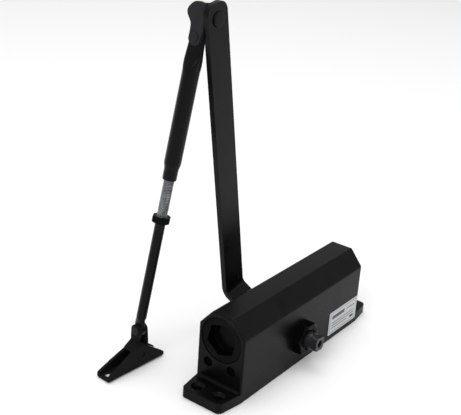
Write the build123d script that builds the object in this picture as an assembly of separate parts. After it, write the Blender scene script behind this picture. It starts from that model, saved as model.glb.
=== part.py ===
"""Surface-mounted door closer with a folding arm, as separate pieces in millimetres.

The origin is on the mounting plane, under the middle of the body block. +X runs along the body towards
the spring end, +Y along the pinion towards the arm, and +Z away from the face the closer is screwed to.
"""

from build123d import *
import os
from math import atan2, cos, degrees, pi, radians, sin, sqrt, tan

# Body casting.
BODY_L = 165.6
BODY_W = 41.8
BODY_H = 66.0
TOP_FLAT = 19.0
SHOULDER_Z = 52.6
FOOT_L = 21.2
FOOT_T = 7.9
FOOT_END_W = 35.4
HOLE_SPACING_X = 190.0
HOLE_SPACING_Y = 19.0
SCREW_HOLE_R = 3.0
SCREW_SINK_R = 5.2
FRONT_Y = -BODY_W / 2
REAR_Y = BODY_W / 2
END_X = BODY_L / 2

# Piston bore and end plugs.
BORE_Z = 45.3
BORE_R = 16.05
PLUG_R = 18.2
PLUG_L = 14.5
PLUG_SPIGOT_L = 5.0
PLUG_SOCKET_AF = 23.5
PLUG_SOCKET_DEPTH = 7.5
PLUG_SOCKET_TURN = 41.0
SPIGOT_X = END_X - PLUG_L - PLUG_SPIGOT_L
RING_R = 1.0

# Pinion.
PINION_X = -4.2
PINION_Z = 23.0
MODULE = 1.5
TEETH = 12
PRESSURE = 25.0
PITCH_R = MODULE * TEETH / 2
TIP_R = PITCH_R + 0.93 * MODULE
ROOT_R = PITCH_R - 1.25 * MODULE
BACKLASH = 0.16
GEAR_HALF_W = 10.0
JOURNAL_R = 7.0
SQUARE_AF = 10.9
PINION_HOLE_R = 3.0
CROSS_BORE_R = 11.1
BEARING_IN = 11.8
BEARING_OUT = 14.5
FRONT_TIP_Y = -38.0
FRONT_JOURNAL_Y = -32.2
SHAFT_NECK_R = 6.0
NECK_L = 1.0
NUT_AF = 24.0
NUT_HEAD = 7.1
NUT_TURN = 51.7
RUN = 0.05

# Piston.
PISTON_R = 16.0
PISTON_LEFT = -SPIGOT_X + 0.2
PISTON_RIGHT = 14.0
RACK_LEFT = -41.0
RACK_RIGHT = 7.0
SPRING_R = 12.6
WIRE_R = 1.7
SPRING_TURNS = 4.5

# Speed valves.
VALVE_Y = 10.6
VALVE_Z = 23.0
VALVE_RECESS = 2.6

# Main arm: its length runs up a line that leans back from the pinion.
ARM_LEAN = -10.85
ARM_W = 22.0
ARM_T = 4.5
ARM_LENGTH = 250.0
ARM_BOSS_Y = 28.3
ARM_FLAT_Y = 43.6
ARM_BEND_LOW = 12.0
ARM_BEND_HIGH = 22.5
ARM_END_R = 11.3
ARM_TOP = 11.9
ARM_CORNER_R = 8.0
ELBOW_HEAD_R = 5.6
ELBOW_RIVET_R = 4.0

# Elbow link, in its own frame at the elbow rivet.
LINK_TURN = 8.0
LINK_T = 3.0
LINK_FRONT_Y = ARM_FLAT_Y + ARM_T + 0.1
LINK_FACE_X = -10.15
LINK_R = 10.0
TILT_DROP = -14.16
TILT_X = -5.18
TILT_Y = 55.0
TILT_RIVET_R = 2.75
TILT_HEAD_R = 3.7
LOBE_R = 5.1
LOBE_AT = (54.5, -14.9)
FOLD_R = 2.8

# Forearm, in its own frame: the tilt rivet is its origin and it runs down -Z.
FOREARM_TILT = 4.51
TUBE_R = 6.1
TUBE_FLAT = 3.6
TUBE_END = 106.0
NECK_START = 92.5
NECK_R = 5.35
ROD_R = 4.0
ROD_TOP = 40.0
NUT_TOP = 134.8
LOCK_NUT_H = 5.0
LOCK_NUT_AF = 13.0
LOCK_NUT_TURN = 34
ROD_LENGTH = 230.04

# Frame shoe, in its own frame: the shoe rivet is the origin in plan, and z counts from the floor.
SHOE_TURN = -3.9
SHOE_PIVOT_Z = 28.1
SHOE_T = 2.2
SHOE_LEFT = -37.7
SHOE_RIGHT = 20.0
SHOE_FRONT = -8.1
SHOE_BACK = 5.2
SHOE_HOLES = ((-31.3, 3.7), (14.5, 3.1))
SHOE_DIMPLE = 0.6
SHOE_DIMPLE_R = 2.4
LUG_R = 5.0
LUG_LEFT = -3.4
LUG_RIGHT = 4.6
EYE_R = 5.2
EYE_LEFT = -1.1
EYE_RIGHT = 2.3
SHOE_RIVET_R = 2.5


def rod_along(axis, radius, start, end, at=(0.0, 0.0)):
    """A cylinder along X, Y or Z from start to end; at gives the two other coordinates in axis order."""
    length = end - start
    middle = (start + end) / 2
    if axis == "X":
        return Pos(middle, at[0], at[1]) * Rot(0, 90, 0) * Cylinder(radius, length)
    if axis == "Y":
        return Pos(at[0], middle, at[1]) * Rot(-90, 0, 0) * Cylinder(radius, length)
    return Pos(at[0], at[1], middle) * Cylinder(radius, length)


def ring_along(axis, outer, inner, start, end, at=(0.0, 0.0)):
    """A plain tube along an axis."""
    return rod_along(axis, outer, start, end, at) - rod_along(axis, inner, start, end, at)


def block(x0, x1, y0, y1, z0, z1):
    """A box between two corners."""
    return Pos((x0 + x1) / 2, (y0 + y1) / 2, (z0 + z1) / 2) * Box(x1 - x0, y1 - y0, z1 - z0)


def plate_xz(points, y0, y1):
    """A plate of the outline given in X and Z, from y0 to y1."""
    face = make_face(Polyline(*[(x, y0, z) for x, z in points], close=True))
    return extrude(face, amount=y1 - y0, dir=(0, 1, 0))


def plate_yz(points, x0, x1):
    """A plate of the outline given in Y and Z, from x0 to x1."""
    face = make_face(Polyline(*[(x0, y, z) for y, z in points], close=True))
    return extrude(face, amount=x1 - x0, dir=(1, 0, 0))


def hexagon(across_flats, height, turn):
    """A hexagonal prism on +Z, with one corner turned from +X."""
    corner_r = across_flats / sqrt(3)
    return Rot(0, 0, turn) * extrude(RegularPolygon(corner_r, 6), amount=height)


def along_pinion(shape):
    """Turns a shape built up +Z so that it points along +Y from the pinion axis, with X kept."""
    return Pos(PINION_X, 0, PINION_Z) * Rot(-90, 0, 0) * shape


def towards_front(shape):
    """Turns a shape built up +Z so that it points along -Y from the pinion axis, with X kept."""
    return Pos(PINION_X, 0, PINION_Z) * Rot(90, 0, 0) * shape


def foot(side):
    """One screw foot of the casting, tapered in plan, with rounded outer corners."""
    x0 = side * (END_X - 4)
    x1 = side * (END_X + FOOT_L)
    outline = Polyline(
        (x0, -BODY_W / 2),
        (side * END_X, -BODY_W / 2),
        (x1, -FOOT_END_W / 2),
        (x1, FOOT_END_W / 2),
        (side * END_X, BODY_W / 2),
        (x0, BODY_W / 2),
        close=True,
    )
    plate = extrude(make_face(outline), amount=FOOT_T)
    corners = plate.edges().filter_by(Axis.Z).group_by(Axis.X)[-1 if side > 0 else 0]
    plate = fillet(corners, 3.5)
    rim = plate.faces().sort_by(Axis.Z)[-1].edges()
    outer = rim.filter_by(lambda e: abs(e.center().X) > END_X + 1)
    return fillet(outer, 0.8)


def casting_outside():
    """The octagon-topped block with its two feet, before any hole is cut."""
    half_w = BODY_W / 2
    section = (
        (-half_w, 0),
        (half_w, 0),
        (half_w, SHOULDER_Z),
        (TOP_FLAT / 2, BODY_H),
        (-TOP_FLAT / 2, BODY_H),
        (-half_w, SHOULDER_Z),
    )
    solid = plate_yz(section, -END_X, END_X)
    long_edges = solid.edges().filter_by(Axis.X).filter_by(lambda e: e.center().Z > 1)
    solid = fillet(long_edges, 0.9)
    for side in (-1, 1):
        end = solid.faces().sort_by(Axis.X)[0 if side < 0 else -1]
        solid = fillet(end.edges().filter_by(lambda e: e.center().Z > 1), 1.0)
    solid += foot(-1) + foot(1)
    return solid


def end_bores(side):
    """The cavity cut for one end plug: a threaded counterbore with a small lead-in."""
    counterbore = rod_along("X", PLUG_R, min(side * END_X, side * (END_X - PLUG_L)),
                            max(side * END_X, side * (END_X - PLUG_L)), (0, BORE_Z))
    lead = Pos(side * END_X, 0, BORE_Z) * Rot(0, side * 90, 0) * Cone(PLUG_R - 0.6, PLUG_R + 0.4, 1.0)
    return counterbore + lead


def valve_passage(side, far_x, ports):
    """The drilling for one valve screw, with its cross ports up into the piston bore."""
    y = side * VALVE_Y
    cut = rod_along("X", 4.0, -END_X - 1, -76.0, (y, VALVE_Z))
    cut += rod_along("X", 3.0, -76.5, -60.0, (y, VALVE_Z))
    cut += rod_along("X", 1.3, -60.5, far_x, (y, VALVE_Z))
    for x in ports:
        cut += rod_along("Z", 1.2, VALVE_Z, BORE_Z - 11.0, (x, y))
    return cut


def screw_hole(x, y):
    """A through hole for one fixing screw, with a shallow sink for its head."""
    hole = rod_along("Z", SCREW_HOLE_R, -1, FOOT_T + 1, (x, y))
    sink = Pos(x, y, FOOT_T - 1.0) * Cone(SCREW_HOLE_R, SCREW_SINK_R, 2.2)
    return hole + sink


def body_casting():
    """The cast housing with every bore and passage."""
    solid = casting_outside()
    solid -= rod_along("X", BORE_R, -END_X - 1, END_X + 1, (0, BORE_Z))
    solid -= end_bores(-1) + end_bores(1)
    solid -= rod_along("Y", CROSS_BORE_R, -BODY_W, BODY_W, (PINION_X, PINION_Z))
    solid -= valve_passage(-1, -28.0, (-58.0, -30.0))
    solid -= valve_passage(1, -44.0, (-54.0, -46.0))
    for x in (-HOLE_SPACING_X / 2, HOLE_SPACING_X / 2):
        for y in (-HOLE_SPACING_Y / 2, HOLE_SPACING_Y / 2):
            solid -= screw_hole(x, y)
    return solid


def end_plug(side):
    """A threaded end plug with a hex socket outside and an O-ring groove on its spigot."""
    face_x = END_X - 0.5
    inner_x = END_X - PLUG_L + 0.05
    solid = rod_along("X", PLUG_R - 0.03, inner_x, face_x, (0, BORE_Z))
    solid = chamfer(solid.faces().sort_by(Axis.X)[-1].edges(), 0.7)
    solid += rod_along("X", BORE_R - 0.1, SPIGOT_X, inner_x + 0.5, (0, BORE_Z))
    groove_x = SPIGOT_X + PLUG_SPIGOT_L / 2
    solid -= ring_along("X", BORE_R + 1, BORE_R - 2 * RING_R - 0.03, groove_x - RING_R - 0.1,
                        groove_x + RING_R + 0.1, (0, BORE_Z))
    socket = hexagon(PLUG_SOCKET_AF, PLUG_SOCKET_DEPTH + 1, 0)
    socket = Pos(face_x - PLUG_SOCKET_DEPTH, 0, BORE_Z) * Rot(90 - PLUG_SOCKET_TURN, 0, 0) * Rot(0, 90, 0) * socket
    solid -= socket
    return solid if side > 0 else solid.mirror(Plane.YZ)


def plug_ring(side):
    """The O-ring in an end plug's groove."""
    groove_x = side * (SPIGOT_X + PLUG_SPIGOT_L / 2)
    return Pos(groove_x, 0, BORE_Z) * Rot(0, 90, 0) * Torus(BORE_R - RING_R - 0.02, RING_R)


def gland_nut(side):
    """A hexagonal gland nut with a threaded barrel, for one end of the pinion."""
    turn = -NUT_TURN if side < 0 else NUT_TURN
    head = hexagon(NUT_AF, NUT_HEAD, turn)
    head &= Pos(0, 0, NUT_HEAD / 2) * Cylinder(NUT_AF / sqrt(3) - 0.35, NUT_HEAD)
    dish = Pos(0, 0, NUT_HEAD - 1.1) * Cylinder(8.6, 1.2, align=(Align.CENTER, Align.CENTER, Align.MIN))
    barrel = Pos(0, 0, -2.8) * Cylinder(CROSS_BORE_R - 0.03, 5.6)
    seal_pocket = Pos(0, 0, -3.7) * Cylinder(9.5, 4.0)
    bore = Cylinder(JOURNAL_R + RUN + 0.03, 40)
    nut = Pos(0, 0, REAR_Y) * (head - dish + barrel - seal_pocket - bore)
    return along_pinion(nut) if side > 0 else towards_front(nut)


def shaft_seal(side):
    """The lip seal in a gland nut."""
    seal = Pos(0, 0, REAR_Y - 3.8) * (Cylinder(9.45, 3.6) - Cylinder(JOURNAL_R + 0.03, 4))
    return along_pinion(seal) if side > 0 else towards_front(seal)


def bearing(side):
    """A plain bearing for one journal of the pinion."""
    middle = (BEARING_IN + BEARING_OUT) / 2
    length = BEARING_OUT - BEARING_IN
    sleeve = Pos(0, 0, middle) * (Cylinder(CROSS_BORE_R - 0.03, length) - Cylinder(JOURNAL_R + RUN, length + 1))
    return along_pinion(sleeve) if side > 0 else towards_front(sleeve)


def involute_tooth():
    """One tooth of the pinion in XY, on +X, with its flanks as splines through involute points."""
    base_r = PITCH_R * cos(radians(PRESSURE))
    involute = tan(radians(PRESSURE)) - radians(PRESSURE)
    half_angle = (pi * MODULE / 2 - BACKLASH) / (2 * PITCH_R) + involute
    flank = []
    for step in range(5):
        r = base_r + (TIP_R - base_r) * step / 4
        roll = sqrt((r / base_r) ** 2 - 1)
        angle = half_angle - (roll - atan2(roll, 1))
        flank.append((r * cos(angle), r * sin(angle)))
    root = ((ROOT_R - 0.3) * cos(half_angle), (ROOT_R - 0.3) * sin(half_angle))
    upper = Spline(*flank)
    lower = Spline(*[(x, -y) for x, y in flank])
    outline = [
        Line((root[0], -root[1]), (flank[0][0], -flank[0][1])),
        lower,
        ThreePointArc((flank[-1][0], -flank[-1][1]), (TIP_R, 0), flank[-1]),
        upper,
        Line(flank[0], root),
        Line(root, (root[0], -root[1])),
    ]
    return make_face(outline)


def pinion_gear():
    """The toothed middle of the pinion, built along Z with a tooth space pointing to the rack."""
    tooth = extrude(involute_tooth(), amount=GEAR_HALF_W, both=True)
    gear = Cylinder(ROOT_R, 2 * GEAR_HALF_W)
    for k in range(TEETH):
        gear += Rot(0, 0, 360 * k / TEETH) * tooth
    return gear


def square_end(z0, z1):
    """A square drive with its corners turned down to the journal's radius."""
    bar = Pos(0, 0, (z0 + z1) / 2) * Box(SQUARE_AF, SQUARE_AF, z1 - z0)
    return bar & Pos(0, 0, (z0 + z1) / 2) * Cylinder(JOURNAL_R, z1 - z0)


def pinion_shaft():
    """The pinion with its journals, its two square ends and their threaded holes."""
    rear_square = Rot(0, 0, ARM_LEAN) * square_end(ARM_BOSS_Y - 0.1, ARM_BOSS_Y + ARM_T - 0.2)
    shaft = pinion_gear()
    shaft += Pos(0, 0, (GEAR_HALF_W + ARM_BOSS_Y - 0.1) / 2) * Cylinder(JOURNAL_R, ARM_BOSS_Y - 0.1 - GEAR_HALF_W)
    shaft += rear_square
    shaft += Pos(0, 0, (FRONT_JOURNAL_Y - GEAR_HALF_W) / 2) * Cylinder(JOURNAL_R, -FRONT_JOURNAL_Y - GEAR_HALF_W)
    shaft += Pos(0, 0, FRONT_JOURNAL_Y - NECK_L / 2) * Cylinder(SHAFT_NECK_R, NECK_L + 0.2)
    front_square = Rot(0, 0, 8) * square_end(FRONT_TIP_Y, FRONT_JOURNAL_Y - NECK_L)
    shaft += chamfer(front_square.faces().sort_by(Axis.Z)[0].edges(), 0.5)
    shaft -= Pos(0, 0, FRONT_TIP_Y + 6) * Cylinder(PINION_HOLE_R, 13)
    shaft -= Pos(0, 0, ARM_BOSS_Y + ARM_T - 7) * Cylinder(PINION_HOLE_R, 14)
    return along_pinion(shaft)


def rack_cut():
    """What is cut from the piston's underside: the flat at the rack's tips and each tooth space."""
    pitch = pi * MODULE
    tip_z = PINION_Z + PITCH_R - 0.93 * MODULE
    root_z = PINION_Z + PITCH_R + 1.25 * MODULE
    pitch_z = PINION_Z + PITCH_R
    slope = tan(radians(PRESSURE))
    cut = block(RACK_LEFT, RACK_RIGHT, -BORE_R, BORE_R, 0, tip_z)
    low = -int((PINION_X - RACK_LEFT) / pitch)
    high = int((RACK_RIGHT - PINION_X) / pitch)
    for k in range(low, high):
        middle = PINION_X + k * pitch
        wide = pitch / 4 + slope * (pitch_z - tip_z + 0.5)
        narrow = pitch / 4 - slope * (root_z - pitch_z)
        outline = (
            (middle - wide, tip_z - 0.5),
            (middle + wide, tip_z - 0.5),
            (middle + narrow, root_z),
            (middle - narrow, root_z),
        )
        cut += plate_xz(outline, -BORE_R, BORE_R)
    return cut


def rack_piston():
    """The piston with its rack, ring groove, oil way and check valve pocket."""
    solid = rod_along("X", PISTON_R, PISTON_LEFT, PISTON_RIGHT, (0, BORE_Z))
    solid -= rack_cut()
    solid -= ring_along("X", PISTON_R + 1, 14.1, PISTON_LEFT + 4.0, PISTON_LEFT + 6.5, (0, BORE_Z))
    solid -= rod_along("X", 5.0, PISTON_LEFT - 1, PISTON_LEFT + 9.0, (0, BORE_Z))
    solid -= rod_along("X", 3.2, PISTON_LEFT + 8.5, PISTON_LEFT + 16.0, (0, BORE_Z))
    solid -= rod_along("X", 1.9, PISTON_LEFT + 15.0, PISTON_RIGHT + 1, (0, BORE_Z))
    return solid


def piston_ring():
    """The seal ring in the piston's groove."""
    return ring_along("X", PISTON_R + 0.03, 14.15, PISTON_LEFT + 4.1, PISTON_LEFT + 6.4, (0, BORE_Z))


def check_seat():
    """The screwed sleeve that holds the check ball in the piston."""
    return ring_along("X", 4.98, 1.5, PISTON_LEFT + 0.5, PISTON_LEFT + 8.8, (0, BORE_Z))


def check_ball():
    """The check ball, just clear of its seat."""
    return Pos(PISTON_LEFT + 8.8 + 1.66, 0, BORE_Z) * Sphere(2.2)


def spring_seat():
    """The ring between the piston and the closing spring."""
    return ring_along("X", 15.2, 8.0, PISTON_RIGHT, PISTON_RIGHT + 2.0, (0, BORE_Z))


def closing_spring():
    """The closing spring, at its length with the piston against its stop."""
    start = PISTON_RIGHT + 2.05 + WIRE_R
    height = SPIGOT_X - 0.05 - WIRE_R - start
    path = Helix(pitch=height / SPRING_TURNS, height=height, radius=SPRING_R)
    profile = Plane(origin=path @ 0, z_dir=path % 0) * Circle(WIRE_R)
    wire = sweep(profile, path=path, is_frenet=True)
    return Pos(start, 0, BORE_Z) * Rot(0, 90, 0) * wire


def valve_screw(side):
    """A speed valve screw: slotted head, threaded body, ring groove and metering cone."""
    at = (side * VALVE_Y, VALVE_Z)
    solid = rod_along("X", 3.75, -END_X + VALVE_RECESS, -76.6, at)
    solid += rod_along("X", 2.9, -77.0, -66.0, at)
    solid += Pos(-64.0, at[0], at[1]) * Rot(0, 90, 0) * Cone(2.9, 1.0, 4.0)
    solid -= ring_along("X", 5, 2.0, -71.2, -69.2, at)
    slot = Pos(-END_X + VALVE_RECESS, at[0], at[1]) * Rot(side * 35, 0, 0) * Box(3.2, 9, 1.1)
    return solid - slot


def valve_ring(side):
    """The O-ring on a valve screw."""
    return Pos(-70.2, side * VALVE_Y, VALVE_Z) * Rot(0, 90, 0) * Torus(2.48, 0.46)


def name_plate():
    """The thin name plate on the front face."""
    plate = block(37.3, 80.9, FRONT_Y - 0.4, FRONT_Y, 4.6, 25.8)
    return fillet(plate.edges().filter_by(Axis.Y), 0.8)


def arm_path():
    """Outline of the bent arm in length (z) and offset (y), as a closed face at x = 0."""
    rise = ARM_FLAT_Y - ARM_BOSS_Y
    run = ARM_BEND_HIGH - ARM_BEND_LOW
    half_turn = atan2(rise, run) / 2
    shift = ARM_T * tan(half_turn)
    top = ARM_LENGTH + ARM_TOP
    points = (
        (ARM_BOSS_Y, -ARM_END_R),
        (ARM_BOSS_Y, ARM_BEND_LOW),
        (ARM_FLAT_Y, ARM_BEND_HIGH),
        (ARM_FLAT_Y, top),
        (ARM_FLAT_Y + ARM_T, top),
        (ARM_FLAT_Y + ARM_T, ARM_BEND_HIGH - shift),
        (ARM_BOSS_Y + ARM_T, ARM_BEND_LOW - shift),
        (ARM_BOSS_Y + ARM_T, -ARM_END_R),
    )
    return points


def arm_frame(shape):
    """Puts a shape built about the arm's own length into place."""
    return Pos(PINION_X, 0, PINION_Z) * Rot(0, ARM_LEAN, 0) * shape


def main_arm():
    """The cranked flat arm with a square hole at the pinion and a rivet hole at the elbow."""
    bar = plate_yz(arm_path(), -ARM_W / 2, ARM_W / 2)
    bends = bar.edges().filter_by(Axis.X).filter_by(lambda e: 0 < e.center().Z < 40)
    bar = fillet(bends, 2.2)
    shoulder = ARM_LENGTH + ARM_TOP - ARM_CORNER_R
    inset = ARM_W / 2 - ARM_CORNER_R
    plan = rod_along("Y", ARM_END_R, 0, 60) + block(-ARM_W / 2, ARM_W / 2, 0, 60, 0, shoulder)
    plan += block(-inset, inset, 0, 60, 0, ARM_LENGTH + ARM_TOP)
    for x in (-inset, inset):
        plan += rod_along("Y", ARM_CORNER_R, 0, 60, (x, shoulder))
    bar &= plan
    hole = block(-SQUARE_AF / 2 - 0.04, SQUARE_AF / 2 + 0.04, 20, 40, -SQUARE_AF / 2 - 0.04, SQUARE_AF / 2 + 0.04)
    bar -= hole & rod_along("Y", JOURNAL_R + 0.05, 20, 40)
    bar -= rod_along("Y", ELBOW_RIVET_R, 40, 60, (0, ARM_LENGTH))
    return arm_frame(bar)


def arm_washer():
    """The washer under the arm screw's head."""
    face = ARM_BOSS_Y + ARM_T
    return arm_frame(ring_along("Y", 8.0, PINION_HOLE_R + 0.1, face, face + 1.5))


def arm_screw():
    """The hex screw that clamps the arm on the pinion."""
    face = ARM_BOSS_Y + ARM_T + 1.5
    head = Pos(0, face, 0) * Rot(-90, 0, 0) * hexagon(10.0, 4.0, 12)
    shank = rod_along("Y", PINION_HOLE_R - 0.02, face - 12.0, face + 0.5)
    return arm_frame(head + shank)


def elbow_rivet():
    """The rivet at the end of the main arm, a low disc head in front and a formed head behind."""
    back = LINK_FRONT_Y + LINK_T + RUN
    head = Pos(0, ARM_FLAT_Y, ARM_LENGTH) * Rot(90, 0, 0) * Cylinder(
        ELBOW_HEAD_R, 1.3, align=(Align.CENTER, Align.CENTER, Align.MIN))
    head = fillet(head.faces().sort_by(Axis.Y)[0].edges(), 0.8)
    shank = rod_along("Y", ELBOW_RIVET_R - 0.01, ARM_FLAT_Y - 0.2, back + 1.0, (0, ARM_LENGTH))
    tail = rod_along("Y", 5.8, back, back + 1.8, (0, ARM_LENGTH))
    tail = fillet(tail.faces().sort_by(Axis.Y)[-1].edges(), 1.0)
    return arm_frame(head + shank + tail)


def elbow_point():
    """Where the elbow rivet's axis crosses the XZ plane."""
    lean = radians(ARM_LEAN)
    return PINION_X + ARM_LENGTH * sin(lean), PINION_Z + ARM_LENGTH * cos(lean)


def link_frame(shape):
    """Puts a shape built about the elbow rivet into place."""
    x, z = elbow_point()
    return Pos(x, 0, z) * Rot(0, LINK_TURN, 0) * shape


def elbow_link():
    """The angle between the arms: one leg on the elbow rivet and one on the tilt rivet."""
    y0 = LINK_FRONT_Y
    y1 = y0 + LINK_T
    front_leg = rod_along("Y", LINK_R, y0, y1) + block(LINK_FACE_X, 0, y0, y1, -4.0, LINK_R)
    side_leg = plate_yz(
        (
            (y0, LINK_R),
            (y0, -10.0),
            (LOBE_AT[0] - LOBE_R, LOBE_AT[1]),
            (LOBE_AT[0] + LOBE_R, LOBE_AT[1]),
            (TILT_Y + 4.0, -7.5),
            (TILT_Y + 4.4, -4.6),
            (TILT_Y + 7.6, 0.2),
            (TILT_Y + 8.4, 2.6),
            (TILT_Y + 7.4, 5.8),
            (TILT_Y + 4.6, 8.8),
            (TILT_Y + 1.2, 10.3),
            (TILT_Y - 3.0, 10.3),
        ),
        LINK_FACE_X,
        LINK_FACE_X + LINK_T,
    )
    side_leg += rod_along("X", LOBE_R, LINK_FACE_X, LINK_FACE_X + LINK_T, LOBE_AT)
    link = front_leg + side_leg
    fold = link.edges().filter_by(Axis.Z).sort_by(lambda e: abs(e.center().X - LINK_FACE_X) + abs(e.center().Y - y0))
    link = fillet(fold[0], FOLD_R)
    link -= rod_along("Y", ELBOW_RIVET_R + RUN, 40, 60)
    link -= rod_along("X", TILT_RIVET_R, -20, 0, (TILT_Y, TILT_DROP))
    return link_frame(link)


def tilt_rivet():
    """The rivet through the side leg and the flattened end of the tube."""
    at = (TILT_Y, TILT_DROP)
    head = rod_along("X", TILT_HEAD_R, LINK_FACE_X - 1.1, LINK_FACE_X, at)
    head = fillet(head.faces().sort_by(Axis.X)[0].edges(), 0.7)
    inner = TILT_X + TUBE_FLAT / 2 + 0.1
    tail = rod_along("X", 4.4, inner, inner + 1.3, at)
    tail = fillet(tail.faces().sort_by(Axis.X)[-1].edges(), 0.7)
    shank = rod_along("X", TILT_RIVET_R - 0.01, LINK_FACE_X - 0.2, inner + 0.5, at)
    return link_frame(head + shank + tail)


def forearm_frame(shape):
    """Puts a shape built down -Z from the tilt rivet into place."""
    x, z = elbow_point()
    to_link = Pos(x, 0, z) * Rot(0, LINK_TURN, 0)
    return to_link * Pos(TILT_X, TILT_Y, TILT_DROP) * Rot(FOREARM_TILT, 0, 0) * shape


def forearm_tube():
    """The tube: pressed flat at the elbow, round along its length and necked where the rod enters."""
    tube = rod_along("Z", TUBE_R, -NECK_START, 0)
    tube += Pos(0, 0, -NECK_START - 3) * Cone(NECK_R, TUBE_R, 6)
    tube += rod_along("Z", NECK_R, -TUBE_END, -NECK_START - 5.9)
    tube = fillet(tube.faces().sort_by(Axis.Z)[0].edges(), 0.8)
    tube += rod_along("X", TUBE_R, -TUBE_R, TUBE_R)
    half = TUBE_FLAT / 2
    wedge = plate_xz(
        (
            (-half, 8.0),
            (-half, -9.0),
            (-TUBE_R - 0.2, -26.0),
            (-TUBE_R - 0.2, -TUBE_END - 1),
            (TUBE_R + 0.2, -TUBE_END - 1),
            (TUBE_R + 0.2, -26.0),
            (half, -9.0),
            (half, 8.0),
        ),
        -10,
        10,
    )
    tube &= wedge
    tube -= rod_along("Z", ROD_R + RUN, -TUBE_END - 1, -30.0)
    tube -= rod_along("X", TILT_RIVET_R + RUN, -20, 20)
    return forearm_frame(tube)


def lock_nut():
    """The hexagonal lock nut on the rod."""
    nut = Pos(0, 0, -NUT_TOP - LOCK_NUT_H) * hexagon(LOCK_NUT_AF, LOCK_NUT_H, LOCK_NUT_TURN)
    barrel = Pos(0, 0, -NUT_TOP - LOCK_NUT_H / 2) * Cylinder(LOCK_NUT_AF / sqrt(3) - 0.1, LOCK_NUT_H)
    barrel = chamfer(barrel.edges().filter_by(GeomType.CIRCLE), 0.9)
    nut &= barrel
    nut -= rod_along("Z", ROD_R + RUN, -NUT_TOP - 10, -NUT_TOP + 1)
    return forearm_frame(nut)


def shoe_point():
    """The middle of the shoe rivet, at the end of the rod's centre line."""
    x, z = elbow_point()
    place = Pos(x, 0, z) * Rot(0, LINK_TURN, 0) * Pos(TILT_X, TILT_Y, TILT_DROP) * Rot(FOREARM_TILT, 0, 0)
    return (place * Pos(0, 0, -ROD_LENGTH)).position


def shoe_frame(shape):
    """Puts a shape built about the shoe rivet into place; its z = 0 is the rivet's height."""
    point = shoe_point()
    return Pos(point.X, point.Y, point.Z) * Rot(0, 0, SHOE_TURN) * shape


def adjusting_rod():
    """The rod: threaded at the top, plain below, with a flat eye square to the shoe rivet."""
    shank = rod_along("Z", ROD_R, -ROD_LENGTH + 11.0, -ROD_TOP)
    shank = chamfer(shank.faces().sort_by(Axis.Z)[-1].edges(), 0.6)
    shank += Pos(0, 0, -ROD_LENGTH + 8.6) * Cone(2.6, ROD_R, 5.0)
    shank = forearm_frame(shank)
    neck = forearm_frame(rod_along("Z", 3.6, -ROD_LENGTH + 1.0, -ROD_LENGTH + 11.0))
    slab = shoe_frame(block(EYE_LEFT, EYE_RIGHT, -9, 9, -9, 14))
    eye = shoe_frame(rod_along("X", EYE_R, EYE_LEFT, EYE_RIGHT))
    hole = shoe_frame(rod_along("X", SHOE_RIVET_R + RUN, -10, 10))
    return shank + (neck & slab) + eye - hole


def shoe_wall(points, y0):
    """One upright wall of the shoe, given in X and height above the floor."""
    low = -SHOE_PIVOT_Z
    return plate_xz([(x, z + low) for x, z in points], y0, y0 + SHOE_T)


def shoe_lug(x0, near, far):
    """One lug of the shoe's clevis, from the walls up to its round end."""
    outline = ((-LUG_R + 0.2, 0.0), (LUG_R - 0.2, 0.0), (far, -9.0), (far, -13.0), (near, -13.0), (near, -9.0))
    lug = plate_yz(outline, x0, x0 + SHOE_T)
    return lug + rod_along("X", LUG_R, x0, x0 + SHOE_T)


def frame_shoe():
    """The pressed shoe: floor, two walls, a sloping web and the clevis lugs."""
    low = -SHOE_PIVOT_Z
    floor = block(SHOE_LEFT, SHOE_RIGHT, SHOE_FRONT, SHOE_BACK, low, low + SHOE_T)
    front = shoe_wall(
        ((SHOE_LEFT, 0), (SHOE_LEFT, 3.2), (-35.5, 5.3), (-31.0, 7.0), (-26.8, 9.2), (-15.7, 15.0), (-9.6, 18.2),
         (0, 18.1), (3.4, 15.4), (18.4, 4.9), (SHOE_RIGHT, 3.0), (SHOE_RIGHT, 0)),
        SHOE_FRONT,
    )
    back = shoe_wall(
        ((SHOE_LEFT, 0), (SHOE_LEFT, 4.2), (-24.9, 9.3), (-11.0, 14.0), (-4.9, 18.2), (0, 18.1), (3.4, 15.4),
         (18.4, 4.9), (SHOE_RIGHT, 3.0), (SHOE_RIGHT, 0)),
        SHOE_BACK - SHOE_T,
    )
    web = plate_xz(
        ((-11.0, 14.0 + low), (LUG_LEFT, 18.9 + low), (LUG_LEFT + SHOE_T, 18.9 + low), (LUG_LEFT + SHOE_T, 17.4 + low),
         (-9.6, 11.8 + low)),
        SHOE_FRONT + 0.5,
        SHOE_BACK,
    )
    shoe = floor + front + back + web
    shoe += shoe_lug(LUG_LEFT, -3.6, SHOE_BACK)
    shoe += shoe_lug(LUG_RIGHT - SHOE_T, SHOE_FRONT + SHOE_T, SHOE_BACK - 1)
    shoe += block(LUG_RIGHT - SHOE_T, LUG_RIGHT, SHOE_FRONT + 1, SHOE_BACK - 1, low + 1, low + 15.2)
    middle_y = (SHOE_FRONT + SHOE_BACK) / 2
    for x, radius in SHOE_HOLES:
        shoe -= rod_along("Z", radius, low - 1, low + SHOE_T + 1, (x, middle_y))
    shoe -= rod_along("Y", SHOE_DIMPLE_R, SHOE_FRONT - 1, SHOE_FRONT + SHOE_DIMPLE, (-2.6, low + 10.4))
    shoe -= rod_along("X", SHOE_RIVET_R, -10, 10)
    return shoe_frame(shoe)


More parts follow.
